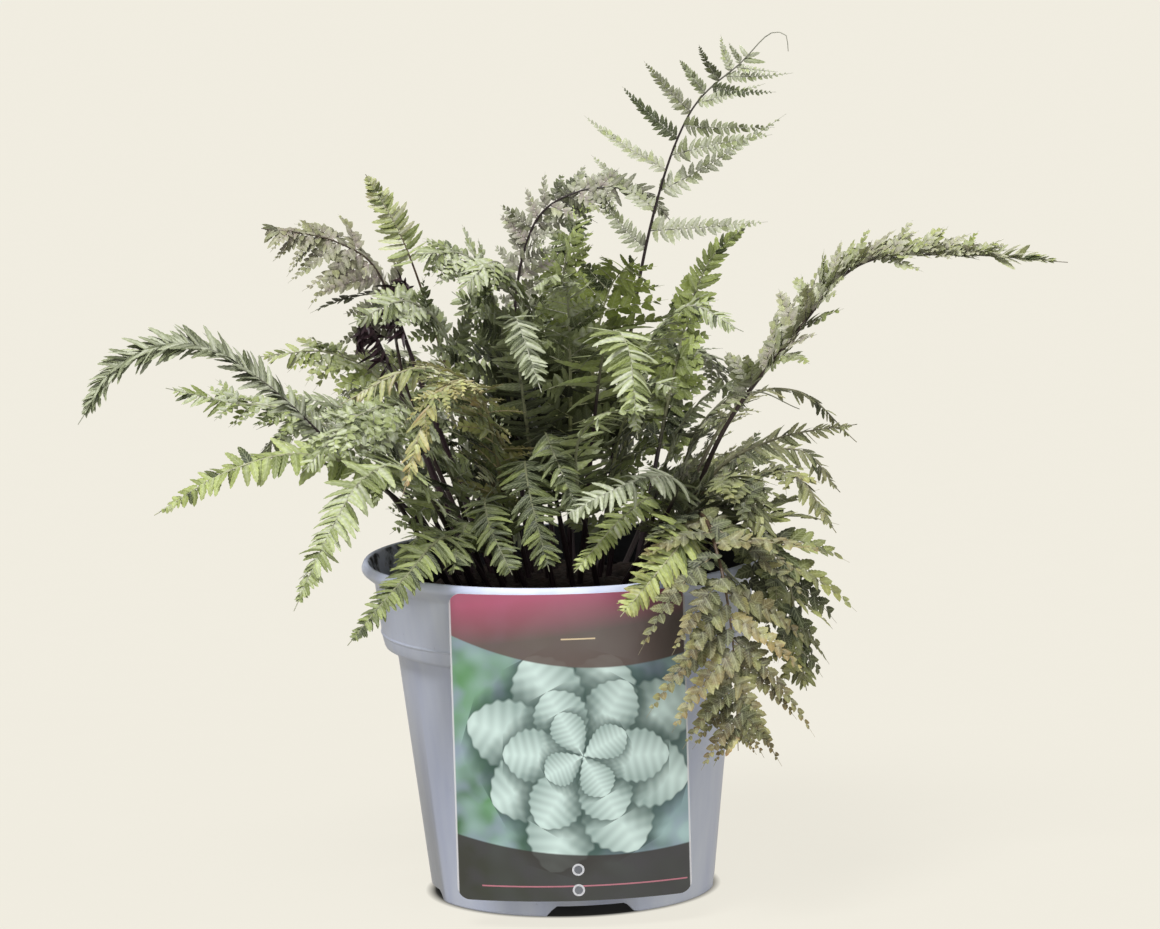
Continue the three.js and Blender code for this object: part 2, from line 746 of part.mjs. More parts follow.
const MATERIALS = {
  pot: new THREE.MeshStandardMaterial({ color: "#8d90ab", roughness: 0.45, metalness: 0 }),
  compost: new THREE.MeshStandardMaterial({ color: "#1d1512", roughness: 0.95, metalness: 0 }),
  rhizome: new THREE.MeshStandardMaterial({ color: "#33231b", roughness: 0.9, metalness: 0 }),
  label: new THREE.MeshStandardMaterial({ color: "#9fc7bd", roughness: 0.3, metalness: 0 }),
  frond: new THREE.MeshStandardMaterial({ color: "#66784a", roughness: 0.6, metalness: 0 }),
  withered: new THREE.MeshStandardMaterial({ color: "#2e2226", roughness: 0.9, metalness: 0 }),
};

const pot = makePot();
const label = makeLabel();
const rhizomeRoom = rhizomeSwollenBy(GAP);
const compost = makeCompost(rhizomeRoom);

// In a real clump the leaflets give way to each other. Here a leaflet stops short of every other frond's
// stalk, of the leaflets of the fronds before it in the list, and of the pot and what is in it.
const spines = FRONDS.map(spineOf);
const stalkRooms = spines.map((spine) => obstacle(bareStalk(spine, GAP)));
const grown = [pot, label, compost].map(obstacle);
const fronds = FRONDS.map((frond, i) => {
  const otherStalks = stalkRooms.filter((_, j) => j !== i);
  const { lengths, rooms } = grownLengths(frond, spines[i], [...otherStalks, ...grown]);
  grown.push(...rooms);
  return largestPieceOf(frondSolid(frond, spines[i], lengths).subtract(rhizomeRoom));
});

const plant = new THREE.Group();
plant.add(meshOf("pot", pot, MATERIALS.pot));
plant.add(meshOf("compost", compost, MATERIALS.compost));
plant.add(meshOf("rhizome", rhizomeSwollenBy(0), MATERIALS.rhizome));
plant.add(meshOf("plant_label", label, MATERIALS.label));
FRONDS.forEach(({ name }, i) => {
  const material = name.startsWith("withered") ? MATERIALS.withered : MATERIALS.frond;
  plant.add(meshOf(name, fronds[i], material));
});

export default plant;
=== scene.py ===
# %% [markdown]
# # A Japanese painted fern in its nursery pot
# The plant is a clump of arching fronds. They rise from a creeping rhizome that lies half sunk in peat
# compost, in a round plastic nursery pot with a bowed plant label hung on its front.
# The solids of the frame say where each piece is and how big it is. This lesson gives each of them the shape
# and the finish that the eye expects: leaflets with toothed edges, a moulded lip, crumbs of peat.
# Lengths are written in millimetres and multiplied by MM, because Blender works in metres.

# %% Load the fixed frame
import json
import math
from types import SimpleNamespace

import bpy
import numpy as np
from mathutils import Matrix

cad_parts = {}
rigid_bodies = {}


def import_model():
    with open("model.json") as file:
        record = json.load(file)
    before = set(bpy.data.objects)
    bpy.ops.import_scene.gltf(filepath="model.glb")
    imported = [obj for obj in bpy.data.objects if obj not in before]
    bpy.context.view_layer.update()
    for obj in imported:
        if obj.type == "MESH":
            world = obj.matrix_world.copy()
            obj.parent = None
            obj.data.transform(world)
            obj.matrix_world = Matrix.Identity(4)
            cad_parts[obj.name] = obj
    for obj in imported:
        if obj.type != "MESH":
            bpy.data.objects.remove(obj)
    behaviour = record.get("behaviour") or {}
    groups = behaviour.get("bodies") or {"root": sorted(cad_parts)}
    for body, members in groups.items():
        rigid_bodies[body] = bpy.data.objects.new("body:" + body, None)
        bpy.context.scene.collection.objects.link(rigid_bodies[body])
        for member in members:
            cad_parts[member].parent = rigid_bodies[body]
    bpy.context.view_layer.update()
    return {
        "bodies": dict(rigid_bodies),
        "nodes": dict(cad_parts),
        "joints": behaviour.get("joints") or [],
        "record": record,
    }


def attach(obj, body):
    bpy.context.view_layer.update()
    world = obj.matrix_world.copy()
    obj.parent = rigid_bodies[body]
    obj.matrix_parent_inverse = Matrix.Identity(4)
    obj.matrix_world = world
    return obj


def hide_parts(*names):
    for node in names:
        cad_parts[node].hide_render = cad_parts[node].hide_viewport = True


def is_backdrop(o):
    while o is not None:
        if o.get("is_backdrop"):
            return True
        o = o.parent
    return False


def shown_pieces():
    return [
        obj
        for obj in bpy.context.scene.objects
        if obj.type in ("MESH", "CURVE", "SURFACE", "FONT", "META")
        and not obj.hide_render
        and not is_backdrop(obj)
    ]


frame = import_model()
MM = 0.001
UP = np.array([0.0, 0.0, 1.0])

# %% [markdown]
# ## Camera
# A long lens, far away, keeps the pot's sides nearly straight, as in a product picture. A Track To
# constraint could aim it. Here its axes are worked out, because that also gives the pan and roll of a camera
# held by hand.

# %% Camera
CAMERA = {"pan": 0.0033, "pitch": 0.1478, "roll": -0.0287}
CAMERA_PLACE = (0.0, -2.4, 0.537)
FOCAL_LENGTH = 180


def camera_axes(pan, pitch, roll):
    """Right, up and back of a camera that looks along +Y, then is turned by pan about the vertical, tipped
    down by pitch about its right, and rolled about its line of sight."""
    ahead = np.array([math.sin(pan), math.cos(pan), 0.0])
    right = np.array([math.cos(pan), -math.sin(pan), 0.0])
    sight = ahead * math.cos(pitch) - UP * math.sin(pitch)
    top = UP * math.cos(pitch) + ahead * math.sin(pitch)
    rolled_right = right * math.cos(roll) + top * math.sin(roll)
    rolled_top = top * math.cos(roll) - right * math.sin(roll)
    return rolled_right, rolled_top, -sight


def set_up(name, data, axes, place=(0, 0, 0)):
    """Puts a camera or a lamp in the scene. The columns of its matrix are its right, its up and its back."""
    turn = np.eye(4)
    turn[:3, :3] = np.stack(axes, 1)
    turn[:3, 3] = place
    made = bpy.data.objects.new(name, data)
    made.matrix_world = Matrix(turn)
    bpy.context.scene.collection.objects.link(made)
    return made


lens = bpy.data.cameras.new("camera")
lens.lens = FOCAL_LENGTH
bpy.context.scene.camera = set_up("camera", lens, camera_axes(**CAMERA), CAMERA_PLACE)
print("camera at", CAMERA_PLACE)

# %% [markdown]
# ## Helpers
# Every surface is worked out as whole numpy arrays. A *skin* is a small dictionary of its points, faces,
# material slots, UV maps and values per point. Skins are joined, and become one mesh at the end.
# Every material is built from nodes by one function, which adds a node, sets it and links it.

# %% Helper: from a skin to an object


def unit(vectors):
    """Each vector divided by its own length."""
    return vectors / np.maximum(np.linalg.norm(vectors, axis=-1, keepdims=True), 1e-12)


def slots_of(skin):
    """The material slot of every face, in as many arrays as the skin has arrays of faces."""
    return skin.get("slots") or [np.full(len(face), skin.get("slot", 0)) for face in skin["faces"]]


def join(skins):
    """One skin from many: points are stacked, and each skin's faces count on from the points before it."""
    starts = np.cumsum([0] + [len(skin["points"]) for skin in skins])
    joined = {
        "points": np.concatenate([skin["points"] for skin in skins]),
        "faces": [face + start for skin, start in zip(skins, starts) for face in skin["faces"]],
        "slots": [slots for skin in skins for slots in slots_of(skin)],
    }
    for kind in ("maps", "values"):
        names = skins[0].get(kind, {}).keys()
        joined[kind] = {name: np.concatenate([skin[kind][name] for skin in skins]) for name in names}
    return joined


def object_from(name, skin, materials, smooth=True):
    """Puts a skin into a mesh: corners in face order, each face by where its corners start."""
    corners = np.concatenate([face.ravel() for face in skin["faces"]]).astype(np.int32)
    sizes = np.concatenate([np.full(len(face), face.shape[1]) for face in skin["faces"]])
    mesh = bpy.data.meshes.new(name)
    mesh.vertices.add(len(skin["points"]))
    mesh.vertices.foreach_set("co", skin["points"].astype(np.float32).ravel())
    mesh.loops.add(len(corners))
    mesh.loops.foreach_set("vertex_index", corners)
    mesh.polygons.add(len(sizes))
    mesh.polygons.foreach_set("loop_start", (np.cumsum(sizes) - sizes).astype(np.int32))
    mesh.polygons.foreach_set("material_index", np.concatenate(slots_of(skin)).astype(np.int32))
    mesh.polygons.foreach_set("use_smooth", np.full(len(sizes), smooth))
    for map_name, places in skin.get("maps", {}).items():
        layer = mesh.uv_layers.new(name=map_name)
        layer.uv.foreach_set("vector", places[corners].astype(np.float32).ravel())
    for value_name, values in skin.get("values", {}).items():
        attribute = mesh.attributes.new(value_name, "FLOAT", "POINT")
        attribute.data.foreach_set("value", values.astype(np.float32))
    mesh.update(calc_edges=True)
    mesh.validate()
    for material in materials:
        mesh.materials.append(material)
    made = bpy.data.objects.new(name, mesh)
    bpy.context.scene.collection.objects.link(made)
    return made


def settle(piece, node):
    """The piece rides on the one body, and stands for its solid, which is hidden."""
    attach(piece, "root")
    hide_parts(node)
    print(f"{piece.name}: {len(piece.data.polygons)} faces")


# %% Helper: rings of points


def round_the_axis(sides):
    """Points at even angles on a circle of radius 1: x = cos a, y = sin a."""
    angle = np.arange(sides) / sides * 2 * np.pi
    return np.stack([np.cos(angle), np.sin(angle)], 1)


def ring_faces(rings, sides):
    """Quads between each ring and the next, then two fans that close the first and the last ring, each on a
    point of its own. Those two points follow the rings."""
    j = np.arange(sides)
    k = (j + 1) % sides
    row = (np.arange(rings - 1) * sides)[:, None]
    quads = np.stack([row + j, row + k, row + sides + k, row + sides + j], 2).reshape(-1, 4)
    last = (rings - 1) * sides
    first_fan = np.stack([k, j, np.full(sides, rings * sides)], 1)
    last_fan = np.stack([last + j, last + k, np.full(sides, rings * sides + 1)], 1)
    return [quads, first_fan, last_fan]


def repeated(faces, count, stride):
    """The faces of one copy, shifted for each further copy by the number of points in one."""
    return (faces[None] + (np.arange(count) * stride)[:, None, None]).reshape(-1, faces.shape[1])


def turned(section, segments):
    """A section of (radius, height) carried round the axis. Its two ends lie on the axis."""
    rings = np.asarray(section, float)[1:-1]
    flat = rings[:, None, :1] * round_the_axis(segments)
    height = np.broadcast_to(rings[:, None, 1:], flat.shape[:2] + (1,))
    points = np.concatenate([flat, height], 2).reshape(-1, 3)
    ends = [[0, 0, section[0][1]], [0, 0, section[-1][1]]]
    return {"points": np.concatenate([points, ends]), "faces": ring_faces(len(rings), segments)}


def ball(rings, sides):
    """A ball of radius 1: rings at even latitudes t, of radius cos t at height sin t, between two poles."""
    latitude = np.linspace(-np.pi / 2, np.pi / 2, rings + 2)
    return turned(np.stack([np.cos(latitude), np.sin(latitude)], 1), sides)


# %% Helper: colours and nodes


def colour(code):
    """An sRGB hex value as linear red, green, blue and alpha: each byte goes through the sRGB curve."""
    shares = [int(code[i : i + 2], 16) / 255 for i in (1, 3, 5)]
    return [s / 12.92 if s <= 0.04045 else ((s + 0.055) / 1.055) ** 2.4 for s in shares] + [1.0]


MODES = {"Math": "operation", "VectorMath": "operation", "Mix": "data_type"}


def add(tree, kind, inputs=(), out=0, **settings):
    """Adds a node of a kind, which its mode may follow, as in Math ADD, and sets it. Fills its inputs with
    values, hex colours or links, by name or in the order of the inputs in use. Gives back the output of that
    number among those in use."""
    kind, *mode = kind.split()
    made = tree.nodes.new("ShaderNode" + kind)
    if mode:
        settings[MODES[kind]] = mode[0]
    for name, value in settings.items():
        setattr(made, name, value)
    if isinstance(inputs, dict):
        sockets = [made.inputs[name] for name in inputs]
        inputs = inputs.values()
    else:
        sockets = [socket for socket in made.inputs if socket.enabled]
    for socket, value in zip(sockets, inputs):
        if isinstance(value, bpy.types.NodeSocket):
            tree.links.new(value, socket)
        else:
            socket.default_value = colour(value) if isinstance(value, str) else value
    outputs = [socket for socket in made.outputs if socket.enabled]
    return outputs[out] if outputs else None


def material(name, finish):
    """A material whose Principled shader takes the sockets and values that finish(tree) gives it."""
    made = bpy.data.materials.new(name)
    made.use_nodes = True
    made.node_tree.nodes.clear()
    shader = add(made.node_tree, "BsdfPrincipled", finish(made.node_tree))
    add(made.node_tree, "OutputMaterial", {"Surface": shader})
    print(f"{name}: {len(made.node_tree.nodes)} nodes")
    return made


# %% [markdown]
# ## The pot
# A 2-litre nursery pot is injection-moulded in one shot of polypropylene, with a wall of a good millimetre.
# Its section, carried once round the axis, gives the foot ring, the tapered wall, the shoulder, the flared
# collar and the rolled lip. A cylinder with loop cuts would do, but a section in numbers keeps every step of
# the mould true, with each corner rounded as a mould rounds it. The foot notches are raised out of the foot
# ring, and the drain holes and the label's slot are cut.

# %% Pot dimensions


def millimetres(**sizes):
    """Sizes written in millimetres, kept in metres."""
    return SimpleNamespace(**{name: size * MM for name, size in sizes.items()})


POT = millimetres(
    height=142, rim_radius=85, lip=3.4, wall=1.3, floor=6, dimple=9, foot_radius=59.7,
    shoulder=100, shoulder_radius=70.5,
    collar_foot=106, collar_foot_radius=76.6, collar_top=133.5, collar_top_radius=79.6,
)
POT_SEGMENTS = 160
CORNER_RADIUS = 0.9 * MM
BEAD = millimetres(z=112, proud=0.5, half=0.7)
NOTCH = millimetres(width=38, top_width=30, height=4.5)
NOTCH_COUNT = 4
NOTCH_BEARING = 7
DRAIN = millimetres(radius=4.5, ring=42)
DRAIN_COUNT = 6
TONGUE = millimetres(width=14, thickness=0.8, x=4.8, z=121, reach=14.5, hook=3.6)


def collar_radius(z):
    """Outer radius of the flared collar at a height: a straight flare from its foot to its top."""
    return np.interp(z, [POT.collar_foot, POT.collar_top], [POT.collar_foot_radius, POT.collar_top_radius])


def wall_radius(z):
    """Outer radius of the whole pot at a height."""
    heights = [0, POT.shoulder, POT.collar_foot, POT.collar_top, POT.height - POT.lip]
    collar = [POT.collar_foot_radius, POT.collar_top_radius]
    return np.interp(z, heights, [POT.foot_radius, POT.shoulder_radius, *collar, POT.rim_radius])


# %% Pot shape


def rounded(section, radius, steps):
    """A section with each inner corner swapped for a short curve: a quadratic from a point before the corner
    to a point after it, with the corner as its handle."""
    corners = np.array(section, float)
    made = [corners[:1]]
    t = np.linspace(0, 1, steps + 1)[:, None]
    for before, corner, after in zip(corners[:-2], corners[1:-1], corners[2:]):
        cut = min(radius, 0.4 * np.linalg.norm(before - corner), 0.4 * np.linalg.norm(after - corner))
        start = corner + unit(before - corner) * cut
        end = corner + unit(after - corner) * cut
        made.append((1 - t) ** 2 * start + 2 * t * (1 - t) * corner + t**2 * end)
    made.append(corners[-1:])
    return np.concatenate(made)


def pot_section():
    """The pot's section: out along the underside, up the outside, over the lip and down the inside."""
    wall, foot, shoulder, rim = POT.wall, POT.foot_radius, POT.shoulder_radius, POT.rim_radius
    floor, dimple, height, top = POT.floor, POT.dimple, POT.height, POT.collar_top
    section = [(0, 0), (dimple, 0), (dimple + 2.5 * MM, floor), (foot - 2.6 * wall, floor)]
    section += [(foot - 1.6 * wall, 0), (foot, 0), (shoulder, POT.shoulder)]
    section += [(shoulder + 0.9 * MM, POT.collar_foot - 1.4 * MM)]
    section += [(POT.collar_foot_radius - 0.6 * MM, POT.collar_foot)]
    for step, proud in ((-2, 0), (-1, 0), (0, 1), (1, 0), (2, 0)):
        z = BEAD.z + step * BEAD.half
        section.append((collar_radius(z) + proud * BEAD.proud, z))
    section += [(POT.collar_top_radius, top), (rim - 0.6 * MM, height - 4.5 * MM), (rim, height - 3.1 * MM)]
    section += [(rim - 1.2 * MM, height), (rim - 3.4 * MM, height - 0.5 * MM)]
    section += [(POT.collar_top_radius - wall, height - 9.5 * MM)]
    section += [(POT.collar_foot_radius - wall - 0.6 * MM, POT.collar_foot + wall)]
    section += [(shoulder - wall + 0.9 * MM, POT.collar_foot - 0.1 * MM), (shoulder - wall, POT.shoulder)]
    section += [(foot - wall + 0.3 * MM, floor + 1.6 * MM), (foot - wall - 1.2 * MM, floor + wall)]
    section += [(dimple + 1.9 * MM, floor + wall), (dimple - 0.6 * MM, wall), (0, wall)]
    return rounded(section, CORNER_RADIUS, steps=2)


def with_foot_notches(points):
    """Raises the foot ring to the notch's roof. How far it rises falls from the full height to nothing over
    the notch's slanted sides, by the distance from the nearest notch's middle."""
    bearing = np.degrees(np.arctan2(points[:, 1], points[:, 0])) + 90 - NOTCH_BEARING
    pitch = 360 / NOTCH_COUNT
    off = np.radians((bearing + pitch / 2) % pitch - pitch / 2) * POT.foot_radius
    roof = np.interp(np.abs(off), [NOTCH.top_width / 2, NOTCH.width / 2], [NOTCH.height, 0])
    ring = np.hypot(points[:, 0], points[:, 1]) > POT.foot_radius - 3.3 * POT.wall
    low = ring & (points[:, 2] < roof)
    points[low, 2] = roof[low] + 0.02 * points[low, 2]
    return points


# %% Helper: cutting with the Boolean modifier


def cylinder(radius, depth, middle, axis, sides=32):
    """A closed drum of that radius and depth round an axis through its middle."""
    skin = turned([(0, -depth / 2), (radius, -depth / 2), (radius, depth / 2), (0, depth / 2)], sides)
    turn = np.eye(3) if axis == "z" else np.array([[1.0, 0, 0], [0, 0, -1], [0, 1, 0]])
    skin["points"] = skin["points"] @ turn.T + np.array(middle)
    return skin


def block(size, middle):
    """A closed box, from its corners."""
    square = ((-0.5, -0.5), (0.5, -0.5), (0.5, 0.5), (-0.5, 0.5))
    corners = np.array([[x, y, z] for z in (-0.5, 0.5) for x, y in square])
    quads = [[3, 2, 1, 0], [4, 5, 6, 7], [0, 1, 5, 4], [1, 2, 6, 5], [2, 3, 7, 6], [3, 0, 4, 7]]
    return {"points": corners * np.array(size) + np.array(middle), "faces": [np.array(quads)]}


def cut(piece, cutters):
    """Takes the cutters away from a piece with a Boolean modifier, and keeps the result as its mesh."""
    tool = object_from("cutters", join(cutters), [], False)
    modifier = piece.modifiers.new("cut", "BOOLEAN")
    modifier.operation = "DIFFERENCE"
    modifier.solver = "EXACT"
    modifier.object = tool
    graph = bpy.context.evaluated_depsgraph_get()
    mesh = bpy.data.meshes.new_from_object(piece.evaluated_get(graph))
    piece.modifiers.clear()
    piece.data = mesh
    bpy.data.objects.remove(tool)


# %% [markdown]
# ### Polypropylene, injection-moulded, lilac grey
# Fresh polypropylene is a little waxy: a soft highlight, not a mirror, and slightly see-through at its thin
# lip. Handling leaves fine scuffs, and watering leaves a tide line of soil inside, above the compost. Over
# it the inner wall is painted with shade, near black except towards the far left.

# %% Pot material


def moulded_polypropylene(tree):
    """Lilac grey with flow clouds 18 mm wide drawn out upwards, scuffs, and on the inside soil stains with
    painted shade that takes most of the inner wall to near black.
    """
    place = add(tree, "TexCoord", out=3)
    upright = add(tree, "Mapping", {"Vector": place, "Scale": (1, 1, 0.2)})
    clouds = add(tree, "TexNoise", (upright, 1 / (18 * MM), 3.0))
    tone = add(tree, "Mix RGBA", (clouds, "#A9B4DC", "#F0F6FF"))
    scuffs = add(tree, "TexNoise", (place, 1 / (4 * MM), 6.0, 0.7))
    marks = add(tree, "MapRange", (scuffs, 0.66, 0.74, 0.0, 0.35))
    scuffed = add(tree, "Mix RGBA", (marks, tone, "#6F7286"))
    inner = add(tree, "Attribute", attribute_name="inside", out=2)
    x = add(tree, "SeparateXYZ", [place])
    # painted shade inside the pot: from the far left inwards the stains are pushed darker, so most of the
    # inner wall turns near black
    painted_shade_bias = add(tree, "MapRange", (x, -75 * MM, -40 * MM, 0.0, 0.3))
    stain_and_painted_shade = add(tree, "TexNoise", (place, 1 / (9 * MM), 5.0, 0.65))
    stain_and_painted_shade = add(tree, "Math ADD", (stain_and_painted_shade, painted_shade_bias))
    patches = add(tree, "MapRange", (stain_and_painted_shade, 0.42, 0.6, 0.15, 0.98))
    soil_and_painted_shade = add(tree, "Math MULTIPLY", (patches, inner))
    # 100E10 is soil and painted shade together
    shown = add(tree, "Mix RGBA", (soil_and_painted_shade, scuffed, "#100E10"))
    grain = add(tree, "TexNoise", (place, 1 / (0.8 * MM), 2.0))
    bump = add(tree, "Bump", {"Height": grain, "Strength": 0.05, "Distance": 0.2 * MM})
    rough = add(tree, "MapRange", (clouds, 0.0, 1.0, 0.38, 0.5))
    rough = add(tree, "Math MAXIMUM", (rough, soil_and_painted_shade))
    return {"Base Color": shown, "Roughness": rough, "IOR": 1.49, "Normal": bump}


POLYPROPYLENE = material("injection-moulded polypropylene", moulded_polypropylene)

# %% Build the pot
pot_outline = pot_section()
pot_skin = turned(pot_outline, POT_SEGMENTS)
pot_skin["points"] = with_foot_notches(pot_skin["points"])
past_lip = np.arange(1, len(pot_outline) - 1) > pot_outline[:, 1].argmax() + 1
pot_skin["values"] = {"inside": np.append(np.repeat(past_lip, POT_SEGMENTS), [False, True]) * 1.0}
pot = object_from("nursery_pot", pot_skin, [POLYPROPYLENE])
pot_cutters = [
    cylinder(DRAIN.radius, 9 * MM, (DRAIN.ring * np.cos(a), DRAIN.ring * np.sin(a), POT.floor), "z")
    for a in (np.arange(DRAIN_COUNT) + 0.5) / DRAIN_COUNT * 2 * np.pi
]
slot_middle = (TONGUE.x, -collar_radius(TONGUE.z) + 1 * MM, TONGUE.z)
pot_cutters.append(block((TONGUE.width + 2 * MM, 8 * MM, TONGUE.thickness + 0.6 * MM), slot_middle))
cut(pot, pot_cutters)
settle(pot, "pot")

# %% [markdown]
# ## The plant label
# The label is a card of printed plastic, half a millimetre thick, bowed by the pot it hangs on. Its tongue
# goes back through the slot in the collar and turns up inside. A plane with a Bend modifier would do. Rows
# of points, whose ends draw the round corners, let the print be laid out in millimetres from its middle.

# %% Label shape
LABEL = millimetres(
    width=96, height=127, thickness=0.5, corner=5, foot=12.5, front=85.8, bend=110, shift=0.6
)
EYELETS = {"radius": 1.7 * MM, "x": 2.2 * MM, "heights": (25.5 * MM, 17 * MM)}


def bowed(x):
    """The y of the card's face at x: the arc of the bend's circle, which touches the front plane."""
    return LABEL.bend - LABEL.front - np.sqrt(LABEL.bend**2 - (x - LABEL.shift) ** 2)


def card_skin(columns=41, rows=40, corner_rows=9):
    """Rows from foot to top, each as wide as the round corners leave it: near an end, the half width loses
    corner - sqrt(corner^2 - (corner - distance)^2). A front and a back sheet share a rim of quads."""
    corner, height = LABEL.corner, LABEL.height
    arc = corner * (1 - np.cos(np.linspace(0, np.pi / 2, corner_rows)))
    up = np.concatenate([arc, np.linspace(corner, height - corner, rows)[1:-1], height - arc[::-1]])
    distance = np.minimum(np.minimum(up, height - up), corner)
    half = LABEL.width / 2 - corner + np.sqrt(corner**2 - (corner - distance) ** 2)
    x = LABEL.shift + half[:, None] * np.linspace(-1, 1, columns)
    z = np.broadcast_to(LABEL.foot + up[:, None], x.shape)
    front = np.stack([x, bowed(x), z], 2).reshape(-1, 3)
    back = front + [0, LABEL.thickness, 0]
    i = (np.arange(len(up) - 1) * columns)[:, None]
    j = np.arange(columns - 1)
    sheet = np.stack([i + j, i + j + 1, i + columns + j + 1, i + columns + j], 2).reshape(-1, 4)
    n = len(front)
    side = np.arange(len(up)) * columns
    edge = np.concatenate([j, side[:-1] + columns - 1, side[-1] + j[::-1] + 1, side[:0:-1]])
    rim = np.stack([edge, edge + n, np.roll(edge, -1) + n, np.roll(edge, -1)], 1)
    flat = np.stack([x - LABEL.shift, z - LABEL.foot], 2).reshape(-1, 2)
    return {
        "points": np.concatenate([front, back]),
        "faces": [sheet, sheet[:, ::-1] + n, rim],
        "slots": [np.zeros(len(sheet)), np.ones(len(sheet)), np.ones(len(rim))],
        "maps": {"card": np.concatenate([flat, flat]) / (100 * MM)},
    }


# %% [markdown]
# ### Offset-printed polystyrene card, glossy
# The print is a soft picture of silvery leaves between a crimson band and a brown foot: a rosette of broad
# leaves, seen from above, over blurred greens. An image would do, but leaves worked out from their own axes
# (along from 0 to 1, across from -1 to 1 at the widest) stay sharp at any size.

# %% Label material
# lengths are in hundreds of millimetres; a ring is a number of leaves, their length and their half width
ROSETTE = {"x": 0.05, "y": 0.6, "turn": 28, "rings": ((8, 0.47, 0.15), (6, 0.33, 0.115), (4, 0.19, 0.075))}


def rosette_leaves():
    """Bearing in degrees, length and half width of each leaf, ring by ring from the outermost."""
    for ring, (count, length, half_width) in enumerate(ROSETTE["rings"]):
        for number in range(count):
            bearing = 360 * (number + 0.5 * ring) / count + ROSETTE["turn"]
            yield bearing, length * (1 + 0.09 * math.cos(2.4 * number)), half_width


def printed_leaf(tree, place, bearing, length, half_width):
    """A broad leaf: how much of it covers a point, how light it is there, and the shadow round it. Its half
    width at a is (4 a (1 - a)) to the 0.8, times 0.5 + 0.9 a, which is widest past the middle, and it is
    toothed where the side veins end."""
    spot = {"Vector": place, "Location": (ROSETTE["x"], ROSETTE["y"], 0)}
    spot |= {"Rotation": (0, 0, math.radians(bearing)), "Scale": (length, half_width, 1)}
    own = add(tree, "Mapping", spot, vector_type="TEXTURE")
    a, b = (add(tree, "SeparateXYZ", [own], out=axis) for axis in (0, 1))
    off = add(tree, "Math ABSOLUTE", [b])
    slant = add(tree, "Math MULTIPLY", (off, -5.0))
    along = add(tree, "Math MULTIPLY_ADD", (a, 62.0, slant))
    veins = add(tree, "Math SINE", [along])
    rest = add(tree, "Math SUBTRACT", (1.0, a), use_clamp=True)
    hump = add(tree, "Math MULTIPLY", (a, rest), use_clamp=True)
    four = add(tree, "Math MULTIPLY", (hump, 4.0))
    oval = add(tree, "Math POWER", (four, 0.8))
    broad = add(tree, "Math MULTIPLY_ADD", (a, 0.9, 0.5))
    edge = add(tree, "Math MULTIPLY", (oval, broad))
    notched = add(tree, "Math MULTIPLY_ADD", (veins, 0.035, edge))
    inside = add(tree, "Math SUBTRACT", (notched, off))
    drawn_leaf = add(tree, "Math GREATER_THAN", (four, 0.05))
    cover = add(tree, "MapRange", (inside, 0.02, 0.1))
    cover = add(tree, "Math MULTIPLY", (cover, drawn_leaf))
    near = add(tree, "MapRange", (inside, -0.6, 0.05, 0.0, 0.75))
    shadow = add(tree, "Math MULTIPLY", (near, drawn_leaf))
    midrib = add(tree, "MapRange", (off, 0.03, 0.8, 0.92, 0.5))
    light = add(tree, "Math MULTIPLY_ADD", (veins, 0.07, midrib))
    return cover, light, shadow


